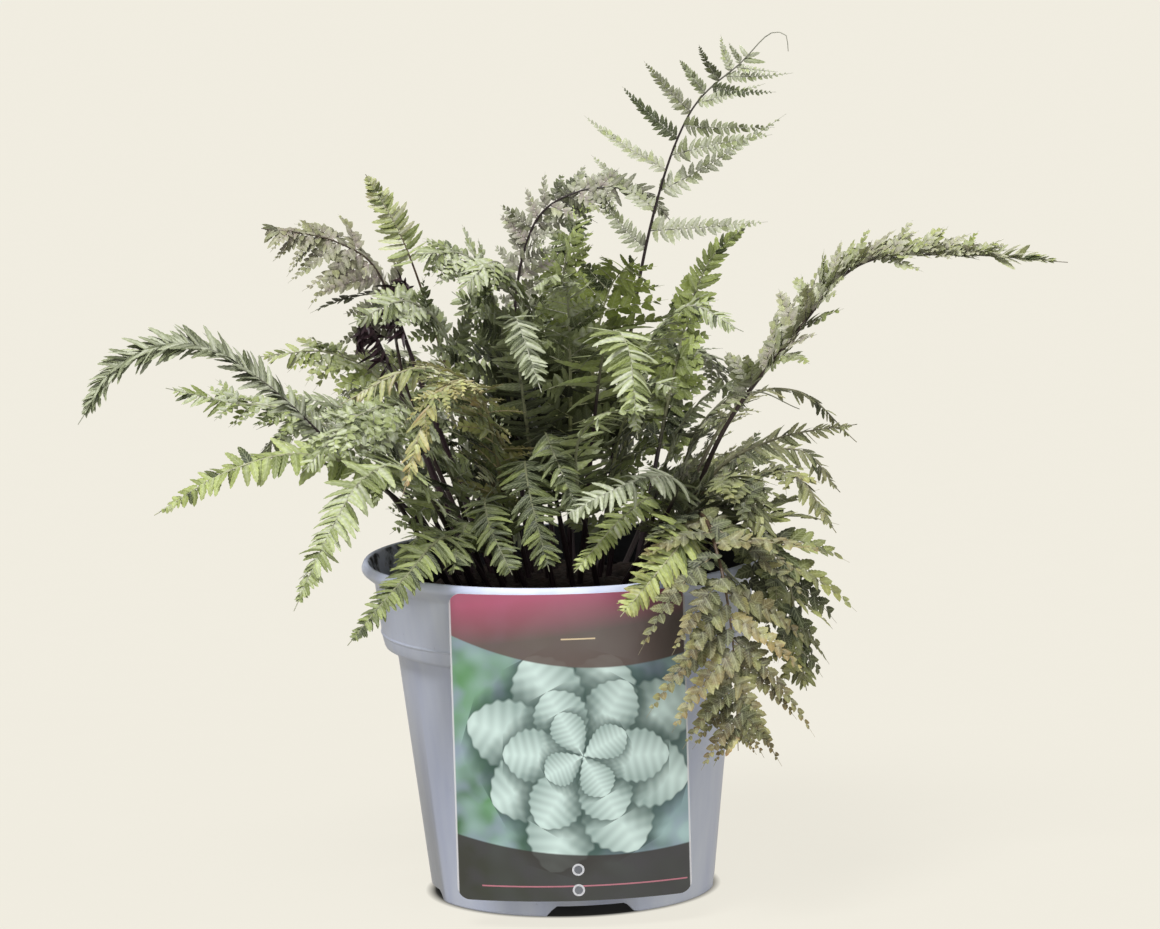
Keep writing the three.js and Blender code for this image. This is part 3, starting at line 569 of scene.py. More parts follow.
def printed_card(tree):
    """The picture first, then the leaves over it, then the two bands, and a pale line at each fold. Places
    are in hundreds of millimetres from the middle of the card's foot."""
    place = add(tree, "UVMap", uv_map="card")
    x, y = (add(tree, "SeparateXYZ", [place], out=axis) for axis in (0, 1))
    right = add(tree, "MapRange", (x, -0.35, 0.2))
    shown = add(tree, "Mix RGBA", (right, "#5F9162", "#7C969C"))
    blurs = ((3.1, 0.4, 0.8, "#2C463A"), (5.3, 0.4, 0.85, "#A9C6C6"), (9.0, 0.45, 0.85, "#8E9CB0"))
    for scale, low, high, code in blurs:
        spots = add(tree, "TexNoise", (place, scale, 1.0), noise_dimensions="2D")
        share = add(tree, "MapRange", (spots, low, high))
        shown = add(tree, "Mix RGBA", (share, shown, code))
    for leaf in rosette_leaves():
        cover, light, shadow = printed_leaf(tree, place, *leaf)
        shown = add(tree, "Mix RGBA", (shadow, shown, "#24443F"))
        shade = add(tree, "Mix RGBA", (light, "#2B5650", "#D3E8E3"))
        shown = add(tree, "Mix RGBA", (cover, shown, shade))
    bow = add(tree, "Math SUBTRACT", (x, 0.15))
    square = add(tree, "Math MULTIPLY", (bow, bow))
    swoop = add(tree, "Math MULTIPLY_ADD", (square, 0.34, 0.96))
    above = add(tree, "Math SUBTRACT", (y, swoop))
    band = add(tree, "MapRange", (above, 0.0, 0.006, 0.0, 0.94))
    slope = add(tree, "Math MULTIPLY_ADD", (x, -0.12, y))
    fade = add(tree, "MapRange", (slope, 1.1, 1.27))
    crimson = add(tree, "Mix RGBA", (fade, "#5F4F4A", "#AE5270"))
    shown = add(tree, "Mix RGBA", (band, shown, crimson))
    dip = add(tree, "Math MULTIPLY_ADD", (square, 0.22, 0.19))
    below = add(tree, "Math SUBTRACT", (dip, y))
    foot = add(tree, "MapRange", (below, 0.0, 0.006, 0.0, 0.93))
    shown = add(tree, "Mix RGBA", (foot, shown, "#2B2524"))
    for height, width, code in ((0.062, 0.42, "#B4707E"), (1.085, 0.07, "#D9C4A0")):
        off = add(tree, "Math COMPARE", (y, height, 0.003))
        across = add(tree, "Math COMPARE", (x, 0.042, width))
        line = add(tree, "Math MULTIPLY", (off, across))
        shown = add(tree, "Mix RGBA", (line, shown, code))
    outer = add(tree, "Math ABSOLUTE", [x])
    margin = add(tree, "MapRange", (outer, 0.4715, 0.475, 0.0, 0.85))
    shown = add(tree, "Mix RGBA", (margin, shown, "#DDDDE2"))
    for height in EYELETS["heights"]:
        middle = ((EYELETS["x"] - LABEL.shift) / (100 * MM), (height - LABEL.foot) / (100 * MM), 0)
        reach = add(tree, "VectorMath DISTANCE", (place, middle))
        ring = add(tree, "Math LESS_THAN", (reach, 0.025))
        shown = add(tree, "Mix RGBA", (ring, shown, "#C9CAD0"))
    return {"Base Color": shown, "Roughness": 0.32, "IOR": 1.5, "Coat Weight": 0.15, "Coat Roughness": 0.12}


def bare_card(tree):
    """The unprinted back and edge of the card: white polystyrene with faint clouds of dust."""
    dust = add(tree, "TexNoise", (add(tree, "TexCoord", out=3), 1 / (12 * MM), 4.0))
    shown = add(tree, "Mix RGBA", (dust, "#C9CAD2", "#E6E6EA"))
    return {"Base Color": shown, "Roughness": 0.4, "IOR": 1.59}


PRINTED = material("offset-printed polystyrene card", printed_card)
BARE = material("white polystyrene, extruded sheet", bare_card)

# %% Build the label


def tongue_skin():
    """The tongue and its hook, as two blocks that start inside the card's thickness and end in the pot."""
    back = -LABEL.front + LABEL.thickness / 2 + TONGUE.reach
    width, thick, x, z = TONGUE.width, TONGUE.thickness, TONGUE.x, TONGUE.z
    bar = block((width, TONGUE.reach, thick), (x, back - TONGUE.reach / 2, z))
    front = bar["points"][:, 1] < -LABEL.front + LABEL.thickness
    bar["points"][front, 1] = bowed(bar["points"][front, 0]) + LABEL.thickness / 2
    hook = block((width, thick, TONGUE.hook), (x, back - thick / 2, z + (TONGUE.hook - thick) / 2))
    skin = join([bar, hook])
    skin["slots"] = [np.ones(len(face)) for face in skin["faces"]]
    skin["maps"] = {"card": np.full((len(skin["points"]), 2), -1.0)}
    return skin


label = object_from("plant_label_card", join([card_skin(), tongue_skin()]), [PRINTED, BARE], False)
hole_middles = [(EYELETS["x"], -LABEL.front, z) for z in EYELETS["heights"]]
cut(label, [cylinder(EYELETS["radius"], 8 * MM, middle, "y") for middle in hole_middles])
settle(label, "plant_label")

# %% [markdown]
# ## Fronds: how one grows
# A painted fern's frond is divided twice. The stalk carries *pinnae* in two rows, and each pinna carries two
# rows of toothed leaflets, the *pinnules*. Near the tips each short pinna is one toothed leaflet.
# Geometry nodes could scatter leaf cards along a curve. Here every leaflet is a thin closed skin of its own,
# worked out for a whole frond at once: that gives real teeth, a folded midrib and shadows in the clump.

# %% Leaflet template
TEETH = {
    # where each ring lies along the leaflet, and its half width there: a tooth, then the notch behind it
    "lobed": [(0, 0.9), (0.15, 1.0), (0.24, 0.8), (0.4, 0.88), (0.5, 0.66), (0.66, 0.66), (0.8, 0.36)],
    "plain": [(0, 0.95), (0.36, 0.95), (0.72, 0.55)],
    "toothed": [(0, 0.7), (0.1, 1.0), (0.18, 0.84), (0.29, 1.0), (0.38, 0.78), (0.49, 0.9)]
    + [(0.58, 0.66), (0.69, 0.72), (0.78, 0.48), (0.88, 0.42)],
    "cut": [(0, 0.7), (0.17, 1.0), (0.29, 0.8), (0.46, 0.96), (0.58, 0.7), (0.8, 0.6)],
}


def leaflet_template(teeth):
    """A unit leaflet as rings of three points, left edge, ridge and right edge, that close on a pointed tip.
    Its faces are the two upper halves and the flat underside. The edges run a little ahead of the ridge."""
    v, half = np.array(teeth, float).T
    across = half[:, None] * [-1, 0, 1]
    along = v[:, None] + np.abs(across) * 0.05
    height = np.broadcast_to([0.0, 1.0, 0.0], across.shape) * (1 - v[:, None])
    points = np.stack([across, along, height], 2).reshape(-1, 3)
    quads, _, tip = ring_faces(len(v), 3)
    # only the tip has a point of its own, so its fan ends one point sooner, and the foot is one triangle
    tris = np.concatenate([tip - [0, 0, 1], [[2, 1, 0]]])
    return {"points": np.concatenate([points, [[0.0, 1.0, 0.0]]]), "quads": quads, "tris": tris}


TEMPLATES = {kind: leaflet_template(teeth) for kind, teeth in TEETH.items()}

# %% Skins for many leaflets and many rods at once
THINNEST = 0.12 * MM


def squared(normal, along):
    """The normal with its part along the direction taken off."""
    return unit(normal - along * np.sum(normal * along, -1, keepdims=True))


def leaflets(kind, base, along, normal, sweep, length, half, fold, droop, values):
    """Every leaflet of one kind. A point is base + along * length v + side * half x. The ridge is raised by
    fold * half, or THINNEST if that is more. All of it is swept by sweep * v^2 and hung by droop *
    length v^2 below its own plane."""
    template = TEMPLATES[kind]
    x, v, h = template["points"].T
    along = unit(along)
    normal = squared(normal, along)
    side = np.cross(along, normal)
    rise = np.maximum(fold * half, THINNEST)[:, None] * h - (droop * length)[:, None] * v**2
    points = (
        base[:, None]
        + along[:, None] * (length[:, None] * v)[..., None]
        + side[:, None] * (half[:, None] * x)[..., None]
        + normal[:, None] * rise[..., None]
        + sweep[:, None] * (v**2)[:, None]
    )
    count, stride = len(base), len(x)
    edge = np.abs(x)
    flat = np.stack([np.broadcast_to(axis, (count, stride)) for axis in (0.5 + 0.5 * x, v)], 2)
    shares = {
        "silver": values["silver"][:, None] * (1.4 - 1.15 * edge) * (1 - 0.4 * v**1.5),
        "tone": values["tone"][:, None] + 0.2 * v - 0.1 + 0.08 * edge,
        "purple": values["purple"][:, None] * (1 - 0.6 * v) * (1 - 0.5 * edge),
        "age": values["age"][:, None] * (0.3 + 0.6 * v + 0.3 * edge),
    }
    return {
        "points": points.reshape(-1, 3),
        "faces": [repeated(template[faces], count, stride) for faces in ("quads", "tris")],
        "cells": flat,
        "maps": {"leaf": flat.reshape(-1, 2)},
        "values": {name: share.clip(0, 1).ravel() for name, share in shares.items()},
    }


def tubes(paths, up, radii, values, sides):
    """Round rods along many paths at once: each ring stands square to its path, and each end closes on its
    middle point. paths is (rods, rings, 3), and the radii and values are spread over (rods, rings)."""
    tangent = unit(np.gradient(paths, axis=1))
    across = unit(np.cross(tangent, up))
    above = np.cross(across, tangent)
    cosine, sine = round_the_axis(sides).T[:, :, None]
    spoke = above[:, :, None] * cosine + across[:, :, None] * sine
    rings = paths[:, :, None] + spoke * radii[:, None, None]
    rods, count = paths.shape[:2]
    points = np.concatenate([rings.reshape(rods, -1, 3), paths[:, :1], paths[:, -1:]], 1)
    stride = count * sides + 2
    flat = np.zeros((rods, stride, 2))
    flat[:, :-2, 0] = np.tile(np.arange(sides) / sides, count)
    flat[:, :-2, 1] = np.repeat(np.arange(count) / (count - 1), sides)
    flat[:, -1, 1] = 1.0
    spread = {}
    for name, value in values.items():
        value = np.broadcast_to(value, (rods, count))
        on_rings = np.repeat(value, sides, axis=1)
        spread[name] = np.concatenate([on_rings, value[:, :1], value[:, -1:]], 1).ravel()
    return {
        "points": points.reshape(-1, 3),
        "faces": [repeated(faces, rods, stride) for faces in ring_faces(count, sides)],
        "slot": 1,
        "cells": flat,
        "maps": {"leaf": flat.reshape(-1, 2)},
        "values": spread,
    }


def laid_out(skins):
    """One UV cell for each leaflet and each rod, on a square board, so that no two share a spot of it."""
    board = math.ceil(math.sqrt(sum(len(skin["cells"]) for skin in skins)))
    first = 0
    for skin in skins:
        flat = skin.pop("cells")
        index = np.arange(first, first + len(flat))
        corner = np.stack([index % board, index // board], 1)[:, None]
        skin["maps"]["OFBake"] = ((corner + 0.08 + 0.84 * flat.clip(0, 1)) / board).reshape(-1, 2)
        first += len(flat)
    return skins


# %% [markdown]
# ### Where each frond goes
# A stalk follows a smooth curve through a few points, from its foot in the rhizome over the top of its arch
# to its tip. The same points give the solids of the frame, so every frond stays where its solid is.

# %% Spine of a frond
STALK_FOOT = 128.5  # height in millimetres, as in the routes
SPINE_SAMPLES = 121


def through(points, samples):
    """A Catmull-Rom curve: between two points it is a cubic whose slope at each end is half the way from the
    point before to the point after. The ends are reflected. The samples lie evenly by length."""
    p = np.vstack([2 * points[0] - points[1], points, 2 * points[-1] - points[-2]])
    u = np.linspace(0, len(points) - 1, 60 * (len(points) - 1) + 1)
    i = np.minimum(u.astype(int), len(points) - 2)
    t = (u - i)[:, None]
    a, b, c, d = p[i], p[i + 1], p[i + 2], p[i + 3]
    curve = 0.5 * (2 * b + (c - a) * t + (2 * a - 5 * b + 4 * c - d) * t**2 + (3 * b - a - 3 * c + d) * t**3)
    reach = np.concatenate([[0], np.cumsum(np.linalg.norm(np.diff(curve, axis=0), axis=1))])
    even = np.linspace(0, reach[-1], samples)
    return np.stack([np.interp(even, reach, curve[:, k]) for k in range(3)], 1), reach[-1]


def spine_of(route, turn):
    """A frond's middle line, its direction, its upper side and its right, at even steps. The upper side
    starts towards the plant's middle, is twisted by turn, and is carried along without spinning."""
    foot, *others = [[float(c) for c in place.split()] for place in route.split(",")]
    points = np.array([[*foot, STALK_FOOT], *others]) * MM
    middle, length = through(points, SPINE_SAMPLES)
    along = unit(np.gradient(middle, axis=0))
    inward = (points[0] - points[-1]) * [1, 1, 0]
    up = unit(inward - along[0] * (inward @ along[0]))
    ups = [up * math.cos(math.radians(turn)) + np.cross(along[0], up) * math.sin(math.radians(turn))]
    for direction in along[1:]:
        ups.append(unit(ups[-1] - direction * (ups[-1] @ direction)))
    ups = np.array(ups)
    return {"middle": middle, "along": along, "up": ups, "right": np.cross(along, ups), "length": length}


def at(spine, share):
    """The spine's middle, direction, upper side and right at shares of its length."""
    where = np.linspace(0, 1, SPINE_SAMPLES)
    middle, *ways = (
        np.stack([np.interp(share, where, row) for row in spine[key].T], -1)
        for key in ("middle", "along", "up", "right")
    )
    return middle, *map(unit, ways)


# %% Pinnae and pinnules
SKYWARD = 0.35  # how far leaflets turn to the light


def pinna_length(frond, q):
    """Pinnae lengthen up to the share rise of the blade, and shorten as (1 - q) to the power of the taper: a
    low taper gives a feather with parallel sides."""
    lengthening = 1 - 1.1 * frond["rise"] * (1 - np.minimum(1, q / frond["rise"]))
    return frond["reach"] * MM * (lengthening * (1 - q) ** frond["taper"] + 0.06)


def blade_part(share):
    """How far along the blade's outline a share of its length is: pinnae shorten slowly, then fast."""
    return 1 - (1 - share) ** 0.8


def pinna_places(frond, blade_length, feathered):
    """Shares of the blade at which pinnae grow. Each step is 1 mm and a quarter of the pinna's own length,
    and the steps shrink by up to a third towards the tip."""
    places = []
    there = 1.5 * MM
    while there < feathered * blade_length:
        share = there / blade_length
        places.append(share)
        step = 1.0 * MM + 0.24 * pinna_length(frond, blade_part(share / feathered))
        there += frond["gap"] * (1 - 0.3 * share) * step
    return np.array(places)


def aimed(along, out, up, splay, lift):
    """A direction turned by splay from along towards out, then by lift towards up."""
    direction = along * (np.cos(splay) * np.cos(lift))[:, None]
    direction += out * (np.sin(splay) * np.cos(lift))[:, None]
    return direction + up * np.sin(lift)[:, None]


def along_pinnae(frond, spine, rng):
    """Both rows of pinnae of a frond: where each is rooted, its direction, its upper side and its length."""
    blade, feathered = frond["blade"], 1 - frond["bare"]
    places = pinna_places(frond, (1 - blade) * spine["length"], feathered)
    share = np.concatenate([places, places + 0.45 * np.diff(places, append=feathered)])
    side = np.repeat([-1.0, 1.0], len(places))
    q = blade_part(np.minimum(share / feathered, 0.995))
    middle, along, up, right = at(spine, blade + (1 - blade) * share)
    count = len(share)
    first, last = frond["splay"]
    splay = np.radians(first + (last - first) * q + side * frond["skew"] + rng.normal(0, 8, count))
    lift = np.radians(frond["lift"] + rng.normal(0, frond["ruffle"], count))
    return {
        "base": middle,
        "out": unit(aimed(along, side[:, None] * right, up, splay, lift)),
        "normal": up + UP * SKYWARD + rng.normal(0, 0.3, (count, 3)),
        "along": along,
        "length": pinna_length(frond, q) * rng.uniform(0.8, 1.1, count),
        "q": q,
        "forward": rng.normal(frond["forward"], 0.06, count),
        "droop": np.abs(rng.normal(frond["droop"], 0.07, count)),
        "chance": rng.normal(0, 1, count),
    }


def costa_points(pinnae, pick, t):
    """A point and a direction on each picked pinna's midrib at t: it bends towards the frond's tip and down,
    both by t squared."""
    length = pinnae["length"][pick][:, None]
    bend = pinnae["along"][pick] * pinnae["forward"][pick][:, None] - UP * pinnae["droop"][pick][:, None]
    out = pinnae["out"][pick]
    t = np.asarray(t)[..., None]
    place = pinnae["base"][pick] + length * (out * t + bend * t**2)
    return place, unit(out + 2 * bend * t)


def tints(frond, pinnae, pick, rng, t):
    """The four values of each leaflet: the frond's own, a share of chance for its pinna and for itself, and
    the way each value changes towards the frond's tip."""
    silver, tone, purple, age = frond["look"]
    mood = pinnae["chance"][pick]
    own = rng.normal(0, 1, len(pick))
    tip = 0.5 * pinnae["q"][pick] + 0.5 * t
    shares = {
        "silver": silver * (1.05 - 0.3 * tip + 0.6 * mood + 0.2 * own),
        "tone": tone - 0.04 + 0.36 * mood * (0.3 + tone) + 0.1 * own + frond["fresh"] * tip,
        "purple": purple * (1.1 - 0.7 * tip + 0.3 * mood),
        "age": age * (1.7 * tip - 0.1 + 0.35 * mood + 0.1 * own),
    }
    return {name: share.clip(0, 1) for name, share in shares.items()}


def drawn(kinds, limits, shared, values):
    """Leaflets in three shapes: one for lengths over both limits, one between them and one under both."""
    rank = np.digitize(shared["length"], np.array(limits) * MM)
    made = []
    for number, kind in enumerate(kinds):
        picked, tint = ({k: value[rank == number] for k, value in part.items()} for part in (shared, values))
        if len(picked["base"]):
            made.append(leaflets(kind, values=tint, **picked))
    return made


def divided(frond, pinnae, pick, rng):
    """The pinnules of every long pinna. Their pitch is 1.3 mm and a twentieth of the pinna's length. They
    shorten to its tip as (1 - t)^0.7, and each is nearly as wide as the pitch, so that they touch."""
    whole = pinnae["length"][pick]
    pitch = frond["coarse"] * (1.3 * MM + 0.052 * whole)
    per_side = np.maximum(np.round(whole / pitch), 2).astype(int)
    owner = np.repeat(pick, per_side)
    n = np.repeat(per_side, per_side)
    index = np.arange(len(owner)) - np.repeat(np.cumsum(per_side) - per_side, per_side)
    owner, n, index = (np.concatenate([a, a]) for a in (owner, n, index))
    side = np.repeat([-1.0, 1.0], len(owner) // 2)
    t = 1 - (1 - (index + np.where(side > 0, 0.8, 0.45)) / (n + 0.7)) ** 1.12
    base, along = costa_points(pinnae, owner, t)
    normal = squared(pinnae["normal"][owner], along)
    splay = np.radians(70 - 24 * t + rng.normal(0, 6, len(t)))
    cup = np.radians(8 + rng.normal(0, 8, len(t)))
    direction = aimed(along, side[:, None] * np.cross(along, normal), normal, splay, cup)
    whole = pinnae["length"][owner]
    length = frond["coarse"] * (0.16 * whole + 1.3 * MM)
    length = length * ((1 - t) ** 0.7 * (0.82 + 0.18 * np.minimum(1, t / 0.15)) + 0.06)
    length *= rng.uniform(0.8, 1.12, len(t))
    pitch = whole / n * (1 - 0.25 * t)
    shared = {
        "base": base,
        "along": direction,
        "sweep": along * (0.12 * length)[:, None],
        "length": length,
        "half": np.minimum(0.4 * length, 0.56 * pitch) * frond["width"],
        "fold": rng.uniform(0.15, 0.45, len(t)),
        "droop": rng.uniform(-0.05, 0.25, len(t)) + frond["curl"],
    }
    flip = np.where(rng.uniform(0, 1, len(t)) < 0.25, -1.0, 1.0)
    shared["droop"] *= flip
    shared["normal"] = (normal + rng.normal(0, 0.17, normal.shape)) * flip[:, None]
    return drawn(("toothed", "lobed", "plain"), (8, 4), shared, tints(frond, pinnae, owner, rng, t))


def undivided(frond, pinnae, pick, rng):
    """Every short pinna as one toothed leaflet on the stalk itself."""
    count = len(pick)
    length = pinnae["length"][pick]
    shared = {
        "base": pinnae["base"][pick],
        "along": pinnae["out"][pick],
        "sweep": pinnae["along"][pick] * (0.14 * length)[:, None],
        "length": length,
        "half": (0.1 * length + 0.5 * MM) * frond["width"],
        "fold": rng.uniform(0.1, 0.4, count),
        "droop": rng.uniform(-0.05, 0.2, count) + pinnae["droop"][pick] * 0.8 + frond["curl"],
    }
    values = tints(frond, pinnae, pick, rng, np.full(count, 0.4))
    shared["normal"] = pinnae["normal"][pick] + rng.normal(0, 0.2, (count, 3))
    return drawn(("toothed", "cut", "plain"), (7, 3.2), shared, values)


def rods(frond, spine, pinnae, pick):
    """The stalk, and the midrib of every divided pinna."""
    silver, tone, purple, age = frond["look"]
    share = np.linspace(0, 1, 81)
    middle, _, up, _ = at(spine, share)
    thick = (1.15 * (1 - share) ** 1.1 + 0.18) * MM * frond["stout"]
    values = {
        "silver": (0.3 + 0.7 * silver) * share,
        "tone": tone * (0.3 + 0.7 * share),
        "purple": 1.0 - (1 - purple) * np.clip((share - frond["wine"]) / 0.2, 0, 1),
        "age": age * share,
    }
    made = [tubes(middle[None], up[None], thick, values, sides=8)]
    if len(pick):
        steps = np.linspace(0, 1.03, 6)
        paths = np.stack([costa_points(pinnae, pick, np.full(len(pick), t))[0] for t in steps], 1)
        values = {
            "silver": 0.35 + 0.65 * silver,
            "tone": tone,
            "purple": (0.1 + 0.8 * purple) * np.linspace(1, 0.1, 6),
            "age": age,
        }
        normal = pinnae["normal"][pick][:, None]
        made.append(tubes(paths, normal, np.linspace(0.36, 0.06, 6) * MM, values, sides=4))
    return made


def kept_clear(points):
    """Leaves rest on what they meet: points just inside the pot's wall move out to it, and points that are
    behind the label's face by up to 14 mm come forward."""
    clear = points.copy()
    radius = np.hypot(clear[:, 0], clear[:, 1])
    wall = wall_radius(clear[:, 2].clip(0, POT.height - POT.lip)) + 0.8 * MM
    near = (clear[:, 2] < POT.height + 0.5 * MM) & (radius < wall) & (radius > wall - 3 * MM)
    clear[:, :2] *= np.where(near, wall / np.maximum(radius, 1e-6), 1.0)[:, None]
    card_top = LABEL.foot + LABEL.height + 1.5 * MM
    on_card = (np.abs(clear[:, 0]) < LABEL.width / 2 + 1 * MM) & (clear[:, 2] < card_top)
    behind = on_card & (clear[:, 1] > -LABEL.front - 1 * MM) & (clear[:, 1] < -LABEL.front + 14 * MM)
    face = bowed(clear[:, 0].clip(-LABEL.width / 2, LABEL.width / 2)) - 0.6 * MM
    clear[:, 1] = np.where(behind, np.minimum(clear[:, 1], face), clear[:, 1])
    return clear


CLUMP = {"middle": [0, 5, 200], "radii": [115, 95, 85]}


def painted_clump_shade(points):
    """Painted shade: a brightness for the leaves, from 0.12 at the clump's heart to 1.08 at its outside, by
    how far out a point is in shares of the radii of an egg-shaped clump."""
    off = (points / MM - CLUMP["middle"]) / CLUMP["radii"]
    return np.interp(np.linalg.norm(off, axis=1), [0.25, 0.68], [0.12, 1.08])


def frond_skin(frond, seed):
    """One whole frond: leaflets in slot 0, stalk and midribs in slot 1."""
    rng = np.random.default_rng(seed)
    spine = spine_of(frond["route"], frond["turn"])
    pinnae = along_pinnae(frond, spine, rng)
    short = pinnae["length"] < frond["simple"] * MM
    long = np.flatnonzero(~short)
    skins = []
    if len(long):
        skins += divided(frond, pinnae, long, rng)
    if short.any():
        skins += undivided(frond, pinnae, np.flatnonzero(short), rng)
    skin = join(laid_out(skins + rods(frond, spine, pinnae, long)))
    skin["points"] = kept_clear(skin["points"])
    # painted shade: the leaves and their silver wash darken towards the heart of the clump
    skin["values"]["light"] = painted_clump_shade(skin["points"])
    skin["values"]["silver"] *= skin["values"]["light"]
    return skin


# %% [markdown]
# ### Living blade of a painted fern
# A painted fern's leaflets are green at the edge, with a wash of silver grey round each midrib, and wine red
# where the midribs meet the stalk. Old blades turn straw yellow and then rust from their tips. Four values
# on the mesh say how far each leaflet has gone in each way, and a fifth is painted shade, which darkens the
# leaflets towards the heart of the clump.
# The surface is matt, with a faint sheen from its waxy bloom.

# %% Blade and stalk materials


def washes(tree, dark, bright, silvered, flushed):
    """Green from dark to bright by tone, then silver and then wine red over it, each by its own value."""
    shown = dark
    for name, code in (("tone", bright), ("silver", silvered), ("purple", flushed)):
        share = add(tree, "Attribute", attribute_name=name, out=2)
        shown = add(tree, "Mix RGBA", (share, shown, code))
    return shown


def living_blade(tree):
    """The washes, a pale midrib and side veins, then straw and rust in patches of 7 mm by age, and a mottle
    of 1.6 mm. All of it is then darkened by painted shade towards the heart of the clump."""
    place = add(tree, "TexCoord", out=3)
    flushed = washes(tree, "#222D13", "#9BAB4A", "#BBC0AE", "#75606A")
    leaf = add(tree, "UVMap", uv_map="leaf")
    across, along = (add(tree, "SeparateXYZ", [leaf], out=axis) for axis in (0, 1))
    off = add(tree, "Math SUBTRACT", (across, 0.5))
    off = add(tree, "Math ABSOLUTE", [off])
    rib = add(tree, "MapRange", (off, 0.02, 0.07, 0.3, 0.0))
    slant = add(tree, "Math MULTIPLY", (off, -22.0))
    steps = add(tree, "Math MULTIPLY_ADD", (along, 36.0, slant))
    side_veins = add(tree, "Math SINE", [steps])
    side_veins = add(tree, "MapRange", (side_veins, 0.1, 1.0, 0.0, 0.2))
    ribs = add(tree, "Math MAXIMUM", (rib, side_veins))
    veined = add(tree, "Mix RGBA", (ribs, flushed, "#C2C99F"))
    patches = add(tree, "TexNoise", (place, 1 / (7 * MM), 2.0))
    late = add(tree, "MapRange", (patches, 0.44, 0.56))
    old = add(tree, "Mix RGBA", (late, "#C6B87C", "#A0663A"))
    age = add(tree, "Attribute", attribute_name="age", out=2)
    aged = add(tree, "Mix RGBA", (age, veined, old))
    mottle = add(tree, "TexNoise", (place, 1 / (1.6 * MM), 3.0))
    shade = add(tree, "MapRange", (mottle, 0.3, 0.7, 0.8, 1.2))
    # painted shade of the clump, multiplied into the mottle
    light = add(tree, "Attribute", attribute_name="light", out=2)
    shade = add(tree, "Math MULTIPLY", (shade, light))
    shown = add(tree, "VectorMath SCALE", (aged, shade))
    bloom = {"Sheen Weight": 0.12, "Sheen Roughness": 0.5}
    return {"Base Color": shown, "Roughness": 0.52, "IOR": 1.42, **bloom}


def scaly_stalk(tree):
    """Wine brown at the foot, silver or green towards the tip, with dark chaffy flecks 2 mm long."""
    wine = washes(tree, "#5B6038", "#A8AC74", "#B4B5A6", "#2C2024")
    age = add(tree, "Attribute", attribute_name="age", out=2)
    straw = add(tree, "Mix RGBA", (age, wine, "#A8895A"))
    flecks = add(tree, "TexNoise", (add(tree, "TexCoord", out=3), 1 / (2 * MM), 2.0))
    chaff = add(tree, "MapRange", (flecks, 0.55, 0.65, 0.0, 0.5))
    shown = add(tree, "Mix RGBA", (chaff, straw, "#1B1412"))
    return {"Base Color": shown, "Roughness": 0.45, "IOR": 1.45}


BLADE = material("painted fern blade, living", living_blade)
STALK = material("painted fern stalk, scaly", scaly_stalk)

# %% What makes fronds differ
GROWTH = {
    # how soon pinnae reach full length and how they taper, the room between them, the bare share of the tip,
    # their angles to the stalk at the foot and the tip of the blade, and how far one side is ahead
    "rise": 0.18, "taper": 0.8, "gap": 1.25, "bare": 0.04, "splay": (70, 42), "skew": 0,
    # how unruly they are, how they bend forward and droop, and the length below which they stay undivided
    "ruffle": 15, "forward": 0.18, "droop": 0.16, "simple": 10,
    # size of the pinnules, their breadth and curl, how much lighter the tip is, and the stalk's thickness
    "coarse": 1.25, "width": 1.0, "curl": 0, "fresh": 0.12, "stout": 1.0,
}
FEATHER = {"taper": 0.4, "gap": 0.7, "splay": (80, 60), "forward": 0.06}
SILVER = (0.75, 0.45, 0.3)
GREEN = (0.3, 0.4)
DARK = (0.35, 0.15, 0.1)
LIME = (0.25, 0.9, 0.0, 0.05)
OLIVE = (0.25, 0.35, 0.35, 0.15)


def frond(route, blade, reach, look, turn=0, lift=0, **own):
    """A frond's x, y and z in millimetres from foot to tip, with no z for its foot, the share of the stalk
    below the blade, and the longest pinna. Its look is how far the leaflets are silvered, lightened, flushed
    with wine red and aged, from 0 to 1. It is twisted by turn and its pinnae are raised by lift, in degrees.
    A frond that says where simple pinnae begin is a feather."""
    look = look + (0.05, 0.0)[len(look) - 2 :]
    kind = FEATHER if "simple" in own else {}
    frame = {"route": route, "blade": blade, "reach": reach, "look": look, "turn": turn, "lift": lift}
    return {**GROWTH, **kind, **frame, "wine": blade, **own}


